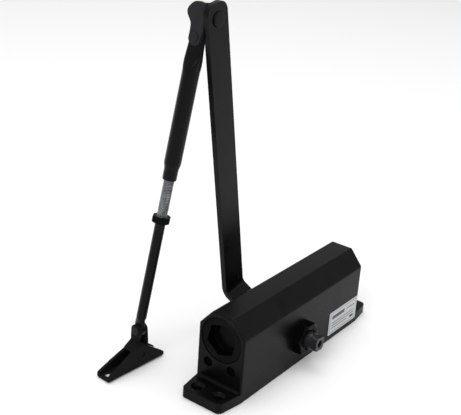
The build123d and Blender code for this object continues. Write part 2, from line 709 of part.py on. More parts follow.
def shoe_rivet():
    """The rivet through the clevis and the rod's eye."""
    head = rod_along("X", 3.6, LUG_LEFT - 1.1, LUG_LEFT)
    head = fillet(head.faces().sort_by(Axis.X)[0].edges(), 0.7)
    tail = rod_along("X", 3.8, LUG_RIGHT, LUG_RIGHT + 1.3)
    tail = fillet(tail.faces().sort_by(Axis.X)[-1].edges(), 0.7)
    shank = rod_along("X", SHOE_RIVET_R - 0.01, LUG_LEFT - 0.2, LUG_RIGHT + 0.2)
    return shoe_frame(head + shank + tail)


NODES = {
    "body_casting": body_casting,
    "end_plug_left": lambda: end_plug(-1),
    "end_plug_right": lambda: end_plug(1),
    "plug_ring_left": lambda: plug_ring(-1),
    "plug_ring_right": lambda: plug_ring(1),
    "gland_nut_front": lambda: gland_nut(-1),
    "gland_nut_rear": lambda: gland_nut(1),
    "shaft_seal_front": lambda: shaft_seal(-1),
    "shaft_seal_rear": lambda: shaft_seal(1),
    "bearing_front": lambda: bearing(-1),
    "bearing_rear": lambda: bearing(1),
    "pinion_shaft": pinion_shaft,
    "rack_piston": rack_piston,
    "piston_ring": piston_ring,
    "check_seat": check_seat,
    "check_ball": check_ball,
    "spring_seat": spring_seat,
    "closing_spring": closing_spring,
    "closing_valve": lambda: valve_screw(-1),
    "latching_valve": lambda: valve_screw(1),
    "valve_ring_closing": lambda: valve_ring(-1),
    "valve_ring_latching": lambda: valve_ring(1),
    "name_plate": name_plate,
    "main_arm": main_arm,
    "arm_washer": arm_washer,
    "arm_screw": arm_screw,
    "elbow_rivet": elbow_rivet,
    "elbow_link": elbow_link,
    "tilt_rivet": tilt_rivet,
    "forearm_tube": forearm_tube,
    "lock_nut": lock_nut,
    "adjusting_rod": adjusting_rod,
    "frame_shoe": frame_shoe,
    "shoe_rivet": shoe_rivet,
}


def main():
    os.makedirs("parts", exist_ok=True)
    for name, make in NODES.items():
        export_step(make(), f"parts/{name}.step")
    point = shoe_point()
    print("elbow", elbow_point())
    print("shoe pivot", round(point.X, 2), round(point.Y, 2), round(point.Z, 2))


main()
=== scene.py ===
"""Looks of a surface-mounted door closer with a folding arm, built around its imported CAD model.

Sizes are in millimetres while a piece is being shaped and are brought to metres when it is finished.
The frame is the CAD model's: the origin lies on the mounting plane under the middle of the body block,
+X runs along the body, +Y along the pinion towards the arm, and +Z away from the mounting plane.
"""

import logging
import math
from dataclasses import dataclass, field
from enum import Enum
from typing import Any, Callable, Iterable, Optional, Sequence

import bmesh
import bpy
from mathutils import Matrix, Vector


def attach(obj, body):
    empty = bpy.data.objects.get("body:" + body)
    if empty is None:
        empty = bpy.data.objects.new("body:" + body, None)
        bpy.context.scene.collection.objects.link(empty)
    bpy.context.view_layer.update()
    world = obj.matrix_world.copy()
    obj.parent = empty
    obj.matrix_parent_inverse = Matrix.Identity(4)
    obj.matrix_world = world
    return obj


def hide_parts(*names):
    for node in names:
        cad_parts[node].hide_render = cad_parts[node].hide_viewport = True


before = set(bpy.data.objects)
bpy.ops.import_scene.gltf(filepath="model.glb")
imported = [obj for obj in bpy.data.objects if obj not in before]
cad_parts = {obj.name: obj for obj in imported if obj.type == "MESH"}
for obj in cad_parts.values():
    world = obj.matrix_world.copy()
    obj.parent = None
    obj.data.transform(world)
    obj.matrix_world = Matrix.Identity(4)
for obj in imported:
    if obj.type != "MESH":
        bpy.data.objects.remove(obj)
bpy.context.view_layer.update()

logger = logging.getLogger("door_closer")
logging.basicConfig(level=logging.INFO, format="%(name)s: %(message)s")

MM = 0.001
FULL_TURN = math.tau

Point2 = tuple[float, float]
EdgeTest = Callable[[bmesh.types.BMEdge], bool]


class Along(Enum):
    """The axis a shape is drawn along; its outline takes the two other coordinates in X, Y, Z order."""

    X = 0
    Y = 1
    Z = 2

    def point(self, first: float, second: float, along: float) -> Vector:
        """The point with these two cross coordinates at a distance along the axis."""
        values = [first, second]
        values.insert(self.value, along)
        return Vector(values)

    def unit(self) -> Vector:
        """The axis as a vector."""
        return self.point(0.0, 0.0, 1.0)


class Shape:
    """A closed shape being made in millimetres."""

    def __init__(self, mesh: bmesh.types.BMesh) -> None:
        """Takes over a bmesh and turns its faces outwards."""
        self.mesh = mesh
        bmesh.ops.recalc_face_normals(mesh, faces=mesh.faces)

    @classmethod
    def prism(cls, axis: Along, outline: Sequence[Point2], low: float, high: float) -> "Shape":
        """A straight prism.

        Args:
            axis: the direction it is drawn along.
            outline: its corners, in the axis's cross coordinates.
            low: where it starts along the axis.
            high: where it ends along the axis.

        Returns:
            The prism.
        """
        mesh = bmesh.new()
        corners = [mesh.verts.new(axis.point(a, b, low)) for a, b in outline]
        base = mesh.faces.new(corners)
        grown = bmesh.ops.extrude_face_region(mesh, geom=[base], use_keep_orig=True)
        moved = [v for v in grown["geom"] if isinstance(v, bmesh.types.BMVert)]
        bmesh.ops.translate(mesh, vec=axis.unit() * (high - low), verts=moved)
        return cls(mesh)

    @classmethod
    def box(cls, low: Sequence[float], high: Sequence[float]) -> "Shape":
        """A box between two corners."""
        outline = ((low[0], low[1]), (high[0], low[1]), (high[0], high[1]), (low[0], high[1]))
        return cls.prism(Along.Z, outline, low[2], high[2])

    @classmethod
    def turned(
        cls, axis: Along, profile: Sequence[Point2], centre: Point2 = (0.0, 0.0), steps: int = 64
    ) -> "Shape":
        """A shape turned about an axis.

        Args:
            axis: the direction of the turning axis.
            profile: (radius, distance along) points; a profile that starts and ends on the axis is solid, and
                any other is closed into a ring.
            centre: where the axis stands, in its cross coordinates.
            steps: how many flats go round it.

        Returns:
            The turned shape.
        """
        mesh = bmesh.new()
        points = [mesh.verts.new(axis.point(centre[0] + r, centre[1], h)) for r, h in profile]
        for a, b in zip(points, points[1:]):
            mesh.edges.new((a, b))
        on_axis = profile[0][0] < 1e-6 and profile[-1][0] < 1e-6
        if not on_axis:
            mesh.edges.new((points[-1], points[0]))
        bmesh.ops.spin(
            mesh, geom=mesh.verts[:] + mesh.edges[:], cent=axis.point(centre[0], centre[1], 0.0),
            axis=axis.unit(), angle=FULL_TURN, steps=steps, use_merge=True,
        )
        bmesh.ops.remove_doubles(mesh, verts=mesh.verts, dist=1e-5)
        return cls(mesh)

    @classmethod
    def rod(
        cls, axis: Along, radius: float, low: float, high: float, centre: Point2 = (0.0, 0.0), steps: int = 64
    ) -> "Shape":
        """A plain round bar along an axis."""
        return cls.turned(axis, ((0.0, low), (radius, low), (radius, high), (0.0, high)), centre, steps)

    @classmethod
    def hexagon(cls, axis: Along, flats: float, low: float, high: float, centre: Point2,
    turn: float) -> "Shape":
        """A hexagonal bar.

        Args:
            axis: the direction it runs in.
            flats: its size across flats.
            low: where it starts along the axis.
            high: where it ends along the axis.
            centre: its middle, in the axis's cross coordinates.
            turn: the angle of its first corner from the first cross coordinate, in degrees.

        Returns:
            The bar.
        """
        radius = flats / math.sqrt(3.0)
        angles = [math.radians(turn + 60.0 * k) for k in range(6)]
        corners = [(centre[0] + radius * math.cos(a), centre[1] + radius * math.sin(a)) for a in angles]
        return cls.prism(axis, corners, low, high)

    @classmethod
    def lofted(cls, rings: Sequence[Sequence[Vector]]) -> "Shape":
        """A closed skin over a row of rings with the same number of points."""
        mesh = bmesh.new()
        loops = []
        for ring in rings:
            points = [mesh.verts.new(p) for p in ring]
            loops.append([mesh.edges.new((a, b)) for a, b in zip(points, points[1:] + points[:1])])
        for a, b in zip(loops, loops[1:]):
            bmesh.ops.bridge_loops(mesh, edges=a + b)
        bmesh.ops.holes_fill(mesh, edges=loops[0] + loops[-1], sides=0)
        return cls(mesh)

    def _combine(self, other: "Shape", operation: str) -> "Shape":
        """Joins, cuts or crosses this shape with another one, which is used up."""
        holders = []
        for part in (self, other):
            data = bpy.data.meshes.new("blank")
            part.mesh.to_mesh(data)
            part.mesh.free()
            holder = bpy.data.objects.new("blank", data)
            bpy.context.scene.collection.objects.link(holder)
            holders.append(holder)
        modifier = holders[0].modifiers.new("combine", "BOOLEAN")
        modifier.operation = operation
        modifier.solver = "EXACT"
        modifier.object = holders[1]
        bpy.context.view_layer.update()
        graph = bpy.context.evaluated_depsgraph_get()
        result = bmesh.new()
        result.from_mesh(holders[0].evaluated_get(graph).to_mesh())
        for holder in holders:
            data = holder.data
            bpy.data.objects.remove(holder)
            bpy.data.meshes.remove(data)
        bmesh.ops.remove_doubles(result, verts=result.verts, dist=1e-4)
        bmesh.ops.dissolve_degenerate(result, edges=result.edges, dist=1e-4)
        self.mesh = result
        return self

    def cut(self, *others: "Shape") -> "Shape":
        """Takes other shapes away from this one."""
        for other in others:
            self._combine(other, "DIFFERENCE")
        return self

    def add(self, *others: "Shape") -> "Shape":
        """Welds other shapes onto this one."""
        for other in others:
            self._combine(other, "UNION")
        return self

    def keep(self, other: "Shape") -> "Shape":
        """Keeps only what also lies inside the other shape."""
        return self._combine(other, "INTERSECT")

    def beside(self, *others: "Shape") -> "Shape":
        """Takes other shapes into this one's mesh as loose neighbours, without welding them."""
        for other in others:
            data = bpy.data.meshes.new("blank")
            other.mesh.to_mesh(data)
            other.mesh.free()
            self.mesh.from_mesh(data)
            bpy.data.meshes.remove(data)
        return self

    def flatten(self) -> "Shape":
        """Clears needless edges from flat faces."""
        bmesh.ops.dissolve_limit(
            self.mesh, angle_limit=math.radians(0.3), verts=self.mesh.verts, edges=self.mesh.edges,
            use_dissolve_boundaries=False,
        )
        return self

    def round_edges(
        self, radius: float, where: Optional[EdgeTest] = None, sharper_than: float = 25.0, segments: int = 3
    ) -> "Shape":
        """Rounds sharp edges.

        Args:
            radius: how far the rounding reaches from each edge.
            where: a test that picks edges; all sharp ones without it.
            sharper_than: the least angle between an edge's faces, in degrees.
            segments: how many flats each rounding has.

        Returns:
            The same shape.
        """
        limit = math.radians(sharper_than)
        self.mesh.normal_update()
        chosen = [
            e for e in self.mesh.edges
            if len(e.link_faces) == 2 and e.calc_face_angle(0.0) > limit and (where is None or where(e))
        ]
        if chosen:
            bmesh.ops.bevel(
                self.mesh, geom=chosen, offset=radius, offset_type="OFFSET", affect="EDGES",
                segments=segments,
                profile=0.5, material=-1, clamp_overlap=True, loop_slide=True,
            )
            bmesh.ops.remove_doubles(self.mesh, verts=self.mesh.verts, dist=1e-4)
        return self

    def move(self, matrix: Matrix) -> "Shape":
        """Moves the shape by a matrix in millimetres."""
        bmesh.ops.transform(self.mesh, matrix=matrix, verts=self.mesh.verts)
        return self

    def finish(self, name: str) -> bpy.types.Object:
        """Brings the shape to metres as an object with smooth curves and crisp corners.

        Args:
            name: the object's name.

        Returns:
            The object, linked to the scene.
        """
        bmesh.ops.scale(self.mesh, vec=(MM, MM, MM), verts=self.mesh.verts)
        data = bpy.data.meshes.new(name)
        self.mesh.to_mesh(data)
        self.mesh.free()
        data.shade_smooth()
        data.set_sharp_from_angle(angle=math.radians(38.0))
        thing = bpy.data.objects.new(name, data)
        bpy.context.scene.collection.objects.link(thing)
        weighted = thing.modifiers.new("weighted normals", "WEIGHTED_NORMAL")
        weighted.keep_sharp = True
        return thing


def middle(edge: bmesh.types.BMEdge) -> Vector:
    """The middle of an edge."""
    return (edge.verts[0].co + edge.verts[1].co) / 2


def runs(edge: bmesh.types.BMEdge, axis: Along) -> bool:
    """Whether an edge runs along an axis."""
    way = (edge.verts[1].co - edge.verts[0].co).normalized()
    return abs(way[axis.value]) > 0.999


def arc(centre: Point2, radius: float, start: float, end: float, steps: int) -> list[Point2]:
    """Points of an arc, with its angles in degrees."""
    angles = [math.radians(start + (end - start) * k / steps) for k in range(steps + 1)]
    return [(centre[0] + radius * math.cos(a), centre[1] + radius * math.sin(a)) for a in angles]


def rivet_head(radius: float, height: float, base: float, outward: float) -> list[Point2]:
    """The turned profile of a low domed rivet head.

    Args:
        radius: the head's radius.
        height: how far it stands out.
        base: where its seat lies along the axis.
        outward: +1 or -1, the way it stands out.

    Returns:
        The profile from the axis under the seat to the crown.
    """
    rise = height * 0.45
    rim = [
        (radius - (1 - math.cos(a)) * height * 0.5, base + outward * (rise + math.sin(a) * (height - rise)))
        for a in (math.pi / 2 * k / 5 for k in range(6))
    ]
    return [(0.0, base), (radius, base), *rim, (0.0, base + outward * (height + radius * 0.02))]


# ---------------------------------------------------------------------------------------------
# Finishes


def linear(code: str) -> tuple[float, float, float, float]:
    """Turns an sRGB hex colour to linear values with full opacity."""
    parts = [int(code[k : k + 2], 16) / 255.0 for k in (1, 3, 5)]
    red, green, blue = (c / 12.92 if c <= 0.04045 else ((c + 0.055) / 1.055) ** 2.4 for c in parts)
    return (red, green, blue, 1.0)


def add_node(
    material: bpy.types.Material,
    kind: str,
    settings: Optional[dict[str, Any]] = None,
    values: Optional[dict[Any, Any]] = None,
    links: Optional[dict[Any, bpy.types.NodeSocket]] = None,
) -> bpy.types.ShaderNode:
    """Adds a shader node.

    Args:
        material: the material it belongs to.
        kind: the node's type name.
        settings: properties of the node.
        values: input values by socket name or number.
        links: output sockets to join, by input name or number.

    Returns:
        The node.
    """
    tree = material.node_tree
    made = tree.nodes.new(kind)
    for name, value in (settings or {}).items():
        setattr(made, name, value)
    for name, value in (values or {}).items():
        made.inputs[name].default_value = value
    for name, source in (links or {}).items():
        tree.links.new(source, made.inputs[name])
    return made


def noise(
    material: bpy.types.Material, vector: bpy.types.NodeSocket, size_mm: float, detail: float, rough: float
) -> bpy.types.NodeSocket:
    """Adds a noise whose grain is given in millimetres.

    Args:
        material: the material it belongs to.
        vector: the coordinates it reads.
        size_mm: the size of its grain.
        detail: how many finer layers it has.
        rough: how strong those layers are.

    Returns:
        Its value.
    """
    values = {"Scale": 1 / (size_mm * MM), "Detail": detail, "Roughness": rough}
    return add_node(material, "ShaderNodeTexNoise", values=values, links={"Vector": vector}).outputs["Fac"]


def spread(
    material: bpy.types.Material, value: bpy.types.NodeSocket, source: Point2, target: Point2
) -> bpy.types.NodeSocket:
    """Maps one range of a value onto another.

    Args:
        material: the material it belongs to.
        value: what is mapped.
        source: the range read.
        target: the range given.

    Returns:
        The mapped value.
    """
    values = {"From Min": source[0], "From Max": source[1], "To Min": target[0], "To Max": target[1]}
    return add_node(material, "ShaderNodeMapRange", values=values, links={"Value": value}).outputs["Result"]


def relief(
    material: bpy.types.Material,
    height: bpy.types.NodeSocket,
    depth_mm: float,
    below: Optional[bpy.types.NodeSocket] = None,
) -> bpy.types.NodeSocket:
    """Turns a height into a bumped normal.

    Args:
        material: the material it belongs to.
        height: the height read.
        depth_mm: how deep it goes.
        below: a normal that it adds to.

    Returns:
        The normal.
    """
    links = {"Height": height} if below is None else {"Height": height, "Normal": below}
    values = {"Strength": 1.0, "Distance": depth_mm * MM}
    return add_node(material, "ShaderNodeBump", values=values, links=links).outputs["Normal"]


def ramp_stops(ramp: bpy.types.ShaderNode, stops: Sequence[tuple[float, Sequence[float]]]) -> None:
    """Sets a two-stop colour ramp."""
    for element, (position, colour) in zip(ramp.color_ramp.elements, stops):
        element.position = position
        element.color = colour


def new_material(name: str) -> tuple[bpy.types.Material, bpy.types.ShaderNode]:
    """An empty node material with its Principled shader."""
    material = bpy.data.materials.new(name)
    material.use_nodes = True
    material.node_tree.nodes.clear()
    shader = add_node(material, "ShaderNodeBsdfPrincipled")
    add_node(material, "ShaderNodeOutputMaterial", links={"Surface": shader.outputs["BSDF"]})
    return material, shader


@dataclass(frozen=True)
class PowderCoat:
    """Polyester powder coat on steel: a satin skin with a fine orange peel and faint cloudy patches."""

    name: str
    colour: str = "#060607"
    cloudy: str = "#0b0b0c"
    rubbed: str = "#343437"
    roughness: float = 0.3
    specular: float = 0.1
    peel_mm: float = 0.9
    peel_depth_mm: float = 0.012
    cast_mm: float = 3.2
    cast_depth_mm: float = 0.0
    wear: float = 0.35
    sheen: float = 0.0

    def build(self) -> bpy.types.Material:
        """Makes the material.

        Returns:
            The material, with its colour, wear, roughness and bump read from Object coordinates.
        """
        material, shader = new_material(self.name)
        place = add_node(material, "ShaderNodeTexCoord")
        cloud = noise(material, place.outputs["Object"], 26.0, 3.0, 0.6)
        cloud_ramp = add_node(material, "ShaderNodeValToRGB", links={"Fac": cloud})
        ramp_stops(cloud_ramp, ((0.35, linear(self.colour)), (0.72, linear(self.cloudy))))
        soft = add_node(material, "ShaderNodeBevel", {"samples": 4}, {"Radius": 0.7 * MM})
        true = add_node(material, "ShaderNodeNewGeometry")
        same = add_node(
            material, "ShaderNodeVectorMath", {"operation": "DOT_PRODUCT"},
            links={0: soft.outputs["Normal"], 1: true.outputs["Normal"]},
        )
        scuff = noise(material, place.outputs["Object"], 2.4, 4.0, 0.7)
        edge = spread(material, same.outputs["Value"], (0.995, 0.90), (0.0, 1.0))
        patch = spread(material, scuff, (0.48, 0.70), (0.0, self.wear))
        worn = add_node(
            material, "ShaderNodeMath", {"operation": "MULTIPLY"},
            links={0: edge, 1: patch},
        )
        paint = add_node(
            material, "ShaderNodeMix", {"data_type": "RGBA"}, {7: linear(self.rubbed)},
            {0: worn.outputs["Value"], 6: cloud_ramp.outputs["Color"]},
        )
        tree = material.node_tree
        tree.links.new(paint.outputs[2], shader.inputs["Base Color"])
        matt = spread(material, cloud, (0.3, 0.75), (self.roughness - 0.05, self.roughness + 0.07))
        tree.links.new(matt, shader.inputs["Roughness"])
        peel = noise(material, place.outputs["Object"], self.peel_mm, 2.0, 0.5)
        bump = relief(material, peel, self.peel_depth_mm)
        if self.cast_depth_mm > 0:
            sand = noise(material, place.outputs["Object"], self.cast_mm, 5.0, 0.62)
            bump = relief(material, sand, self.cast_depth_mm, bump)
        tree.links.new(bump, shader.inputs["Normal"])
        shader.inputs["Specular IOR Level"].default_value = self.specular
        shader.inputs["Sheen Weight"].default_value = self.sheen
        shader.inputs["Sheen Roughness"].default_value = 0.35
        return material


@dataclass(frozen=True)
class MachinedSteel:
    """Turned or rolled steel: bright or blackened, with fine tool lines round or along it."""

    name: str
    colour: str = "#8d8f92"
    shade: str = "#6f7174"
    metallic: float = 1.0
    roughness: float = 0.3
    specular: float = 0.5
    line_mm: float = 0.35
    line_depth_mm: float = 0.004
    stretch: tuple[float, float, float] = (1.0, 1.0, 1.0)

    def build(self) -> bpy.types.Material:
        """Makes the material.

        Returns:
            The material, with its tone, roughness and tool lines read from Object coordinates.
        """
        material, shader = new_material(self.name)
        place = add_node(material, "ShaderNodeTexCoord")
        laid = add_node(
            material, "ShaderNodeMapping", values={"Scale": self.stretch}, links={
                "Vector": place.outputs["Object"]
            }
        )
        tone = noise(material, laid.outputs["Vector"], 5.0, 4.0, 0.6)
        ramp = add_node(material, "ShaderNodeValToRGB", links={"Fac": tone})
        ramp_stops(ramp, ((0.3, linear(self.shade)), (0.7, linear(self.colour))))
        matt = spread(material, tone, (0.3, 0.7), (self.roughness + 0.08, self.roughness - 0.04))
        lines = noise(material, laid.outputs["Vector"], self.line_mm, 2.0, 0.5)
        bump = relief(material, lines, self.line_depth_mm)
        tree = material.node_tree
        tree.links.new(ramp.outputs["Color"], shader.inputs["Base Color"])
        tree.links.new(matt, shader.inputs["Roughness"])
        tree.links.new(bump, shader.inputs["Normal"])
        shader.inputs["Metallic"].default_value = self.metallic
        shader.inputs["Specular IOR Level"].default_value = self.specular
        return material


@dataclass(frozen=True)
class LabelFoil:
    """Printed polyester foil: a satin silver sheet with a slight grain."""

    name: str
    colour: str = "#c6c8ca"
    shade: str = "#b4b6b9"
    roughness: float = 0.45

    def build(self) -> bpy.types.Material:
        """Makes the material.

        Returns:
            The material, with its grain running along the foil.
        """
        material, shader = new_material(self.name)
        place = add_node(material, "ShaderNodeTexCoord")
        laid = add_node(
            material, "ShaderNodeMapping", values={"Scale": (0.04, 1.0, 1.0)}, links={
                "Vector": place.outputs["Object"]
            }
        )
        grain = noise(material, laid.outputs["Vector"], 0.5, 2.0, 0.5)
        ramp = add_node(material, "ShaderNodeValToRGB", links={"Fac": grain})
        ramp_stops(ramp, ((0.3, linear(self.shade)), (0.7, linear(self.colour))))
        bump = relief(material, grain, 0.003)
        tree = material.node_tree
        tree.links.new(ramp.outputs["Color"], shader.inputs["Base Color"])
        tree.links.new(bump, shader.inputs["Normal"])
        shader.inputs["Metallic"].default_value = 0.1
        shader.inputs["Roughness"].default_value = self.roughness
        return material


BODY_COAT = PowderCoat(
    "cast iron, satin black powder coat", specular=0.085, cast_depth_mm=0.035, peel_depth_mm=0.014
)
ARM_COAT = PowderCoat("rolled steel, satin black powder coat", colour="#0c0c0d", cloudy="#111112")
LINK_COAT = PowderCoat(
    "pressed link, satin black powder coat", colour="#242426", cloudy="#2a2a2c", roughness=0.34
)
TUBE_COAT = PowderCoat(
    "drawn steel tube, satin black powder coat", colour="#030303", cloudy="#060607", roughness=0.24,
    specular=0.11, sheen=0.35
)
SHOE_COAT = PowderCoat(
    "pressed steel, satin black powder coat", colour="#131314", cloudy="#18181a", specular=0.03, wear=0.5
)
RIVET_COAT = PowderCoat(
    "rivet steel, satin black powder coat", colour="#161618", cloudy="#1b1b1d", roughness=0.3, wear=0.5
)
BLACK_OXIDE = PowderCoat(
    "turned steel, black oxide", colour="#040404", roughness=0.27, specular=0.04, peel_mm=0.4,
    peel_depth_mm=0.006,
    wear=0.5,
)
ZINC = MachinedSteel("rolled thread, zinc plate", colour="#a0a2a6", shade="#64666a", roughness=0.24)
DARK_STEEL = MachinedSteel("turned steel, phosphated", colour="#3b3c3e", shade="#27282a", metallic=0.6)
GROUND_STEEL = MachinedSteel("ground bearing steel", roughness=0.22)
SPRING_STEEL = MachinedSteel("oiled spring steel", colour="#6a6c70", shade="#4a4c50", roughness=0.34)
SEAL_RUBBER = PowderCoat(
    "moulded nitrile rubber", colour="#0e0e0f", cloudy="#141415", roughness=0.6, wear=0.0
)
RING_PLASTIC = PowderCoat("filled PTFE", colour="#c9c5ba", cloudy="#d4d0c5", rubbed="#d4d0c5", roughness=0.5)
FOIL = LabelFoil("printed silver foil")
INK = PowderCoat(
    "printing ink", colour="#55585c", cloudy="#5d6064", rubbed="#5d6064", roughness=0.55, wear=0.0
)

_made: dict[str, bpy.types.Material] = {}


def dress(thing: bpy.types.Object, finish: Any) -> None:
    """Gives an object one finish, which is built the first time it is used."""
    if finish.name not in _made:
        _made[finish.name] = finish.build()
    if thing.data.materials:
        for k in range(len(thing.data.materials)):
            thing.data.materials[k] = _made[finish.name]
    else:
        thing.data.materials.append(_made[finish.name])


def hand_over(
    shape: Shape, name: str, body: str, finish: Any, nodes: Iterable[str] = ()
) -> bpy.types.Object:
    """Finishes a piece and hands it to the frame.

    Args:
        shape: the piece, in millimetres.
        name: its object's name.
        body: the CAD body it rides on.
        finish: the finish it wears.
        nodes: the CAD nodes it stands for.

    Returns:
        The finished object.
    """
    thing = shape.finish(name)
    dress(thing, finish)
    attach(thing, body)
    if nodes:
        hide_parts(*nodes)
    logger.info("%s: %d faces", name, len(thing.data.polygons))
    return thing


# ---------------------------------------------------------------------------------------------
# Places


@dataclass(frozen=True)
class Places:
    """Where the arms' own frames stand, in millimetres and degrees."""

    pinion: tuple[float, float, float] = (-4.2, 0.0, 23.0)
    arm_lean: float = -10.85
    arm_length: float = 250.0
    link_turn: float = 8.0
    tilt: tuple[float, float, float] = (-5.18, 55.0, -14.16)
    forearm_tilt: float = 4.51
    rod_length: float = 230.04
    shoe_turn: float = -3.9

    def arm(self) -> Matrix:
        """The main arm's frame: +Z runs up the arm from the pinion."""
        return Matrix.Translation(self.pinion) @ Matrix.Rotation(math.radians(self.arm_lean), 4, "Y")

    def link(self) -> Matrix:
        """The elbow link's frame, at the elbow rivet."""
        elbow = self.arm() @ Vector((0.0, 0.0, self.arm_length))
        return Matrix.Translation(elbow) @ Matrix.Rotation(math.radians(self.link_turn), 4, "Y")

    def forearm(self) -> Matrix:
        """The forearm's frame: the tilt rivet is its origin and -Z runs down the tube."""
        return self.link() @ Matrix.Translation(self.tilt) @ Matrix.Rotation(
            math.radians(self.forearm_tilt), 4, "X"
        )

    def shoe(self) -> Matrix:
        """The shoe's frame, at its rivet."""
        end = self.forearm() @ Vector((0.0, 0.0, -self.rod_length))
        return Matrix.Translation(end) @ Matrix.Rotation(math.radians(self.shoe_turn), 4, "Z")


PLACES = Places()


# ---------------------------------------------------------------------------------------------
# Body


@dataclass
class Body:
    """The cast housing with its end plugs, gland nuts, valve screws and name plate."""

    half_length: float = 82.8
    half_width: float = 20.9
    height: float = 66.0
    shoulder: float = 52.6
    top_half: float = 9.5
    foot_length: float = 21.2
    foot_thickness: float = 7.9
    foot_end_half: float = 17.7
    bore_z: float = 45.3
    plug_radius: float = 18.2
    plug_depth: float = 14.5
    valve_recess: float = 2.6
    screw_x: float = 95.0
    screw_y: float = 9.5
    valve_y: float = 10.6
    valve_z: float = 23.0
    nut_flats: float = 24.0
    nut_height: float = 7.1
    nut_turn: float = 51.7

    def block(self) -> Shape:
        """The eight-sided block with its edges eased.

        Returns:
            The block without feet or holes.
        """
        w, s, h, t = self.half_width, self.shoulder, self.height, self.top_half
        section = ((-w, 0.0), (w, 0.0), (w, s), (t, h), (-t, h), (-w, s))
        block = Shape.prism(Along.X, section, -self.half_length, self.half_length)
        block.round_edges(
            1.5, lambda e: runs(e, Along.Z) and abs(middle(e).x) > self.half_length - 0.1, segments=5
        )
        block.round_edges(0.9, lambda e: middle(e).z > 1.0, sharper_than=30.0, segments=4)
        return block

    def foot(self, side: int) -> Shape:
        """One screw foot, with rounded corners and an eased rim.

        Args:
            side: -1 for the near end and +1 for the label end.

        Returns:
            The foot, reaching a little into the block.
        """
        inner, line, outer = side * (self.half_length - 6.0), side * self.half_length, side * (
            self.half_length + self.foot_length
        )
        w, e = self.half_width, self.foot_end_half
        outline = ((inner, -w), (line, -w), (outer, -e), (outer, e), (line, w), (inner, w))
        foot = Shape.prism(Along.Z, outline, 0.0, self.foot_thickness)
        foot.round_edges(3.4, lambda g: runs(g, Along.Z) and abs(middle(g).x) > abs(line) + 2, segments=8)
        foot.round_edges(
            0.8, lambda g: abs(middle(g).x) > abs(line) - 0.5 and middle(g).z > self.foot_thickness - 0.1,
            segments=3
        )
        return foot

    def web(self, side: int) -> Shape:
        """The cast fillet between a foot and the end wall."""
        radius = 2.5
        corner = (self.half_length + radius, self.foot_thickness + radius)
        curve = arc(corner, radius, 180.0, 270.0, 8)
        inside = [(self.half_length + radius, self.foot_thickness - 1),
        (self.half_length - 1, self.foot_thickness - 1),
                  (self.half_length - 1, self.foot_thickness + radius)]
        outline = [(side * x, z) for x, z in curve + inside]
        web = Shape.prism(Along.Y, outline, -self.half_width + 1.3, self.half_width - 1.3)
        return web

    def casting(self) -> None:
        """Builds the housing with its bores, sunk screw holes and valve holes."""
        body = self.block().add(self.foot(-1), self.foot(1), self.web(-1), self.web(1))
        end = self.half_length
        for side in (-1, 1):
            span = ((0.0, side * (end + 1)), (self.plug_radius, side * (end + 1)),
                    (self.plug_radius, side * (end - self.plug_depth)), (0.0, side * (end - self.plug_depth)))
            body.cut(Shape.turned(Along.X, span, (0.0, self.bore_z), 96))
        body.cut(Shape.rod(Along.X, 16.05, -end, end, (0.0, self.bore_z), 96))
        body.cut(Shape.rod(Along.Y, 11.1, -30.0, 30.0, (PLACES.pinion[0], PLACES.pinion[2]), 64))
        for y in (-self.valve_y, self.valve_y):
            hole = ((0.0, -end - 1), (4.0, -end - 1), (4.0, -76.0), (3.0, -76.0), (3.0, -60.0), (0.0, -60.0))
            body.cut(Shape.turned(Along.X, hole, (y, self.valve_z), 40))
        for x in (-self.screw_x, self.screw_x):
            for y in (-self.screw_y, self.screw_y):
                top = self.foot_thickness
                hole = (
                    (0.0, -1.0), (3.0, -1.0), (3.0, top - 2.1), (5.3, top - 0.25), (5.6, top + 0.5), (
                        0.0, top + 0.5
                    )
                )
                body.cut(Shape.turned(Along.Z, hole, (x, y), 48))

        def rim(edge: bmesh.types.BMEdge) -> bool:
            """Whether an edge is a hole's rim on an end wall."""
            spot = middle(edge)
            if abs(abs(spot.x) - end) > 0.02:
                return False
            to_bore = math.hypot(spot.y, spot.z - self.bore_z)
            to_valve = math.hypot(abs(spot.y) - self.valve_y, spot.z - self.valve_z)
            return abs(to_bore - self.plug_radius) < 0.1 or abs(to_valve - 4.0) < 0.1

        body.flatten().round_edges(0.35, rim, segments=2)
        hand_over(body, "housing_casting", "housing", BODY_COAT, ["body_casting"])

    def plug(self, side: int, node: str) -> None:
        """Builds one end plug with its hex socket.

        Args:
            side: -1 for the valve end and +1 for the label end.
            node: the CAD node it stands for.
        """
        face, seat = self.half_length - 0.5, self.half_length - self.plug_depth + 0.05
        r = self.plug_radius - 0.03
        profile = [(0.0, face), (r - 1.5, face), (r - 1.2, face - 0.25), (r - 0.8, face), (r - 0.6, face),
        (r, face - 0.6),
                   (r, seat), (15.95, seat), (15.95, seat - 1.3), (14.0, seat - 1.4), (14.0, seat - 3.6),
                   (15.95, seat - 3.7), (15.95, seat - 5.0), (0.0, seat - 5.0)]
        plug = Shape.turned(Along.X, [(a, side * b) for a, b in profile], (0.0, self.bore_z), 96)
        low, high = sorted((side * (face - 7.5), side * (face + 1.0)))
        plug.cut(Shape.hexagon(Along.X, 23.5, low, high, (0.0, self.bore_z), 41.0))
        plug.flatten().round_edges(
            0.4,
            lambda e: abs(abs(middle(e).x) - face) < 0.02 and math.hypot(middle(e).y,
            middle(e).z - self.bore_z) < 14.2,
            segments=3,
        )
        plug.round_edges(
            0.5,
            lambda e: abs(abs(middle(e).x) - face + 7.5) < 0.02
            or (runs(e, Along.X) and math.hypot(middle(e).y, middle(e).z - self.bore_z) < 14.2),
            segments=3,
        )
        hand_over(plug, f"{node}_turned", "housing", BLACK_OXIDE, [node])

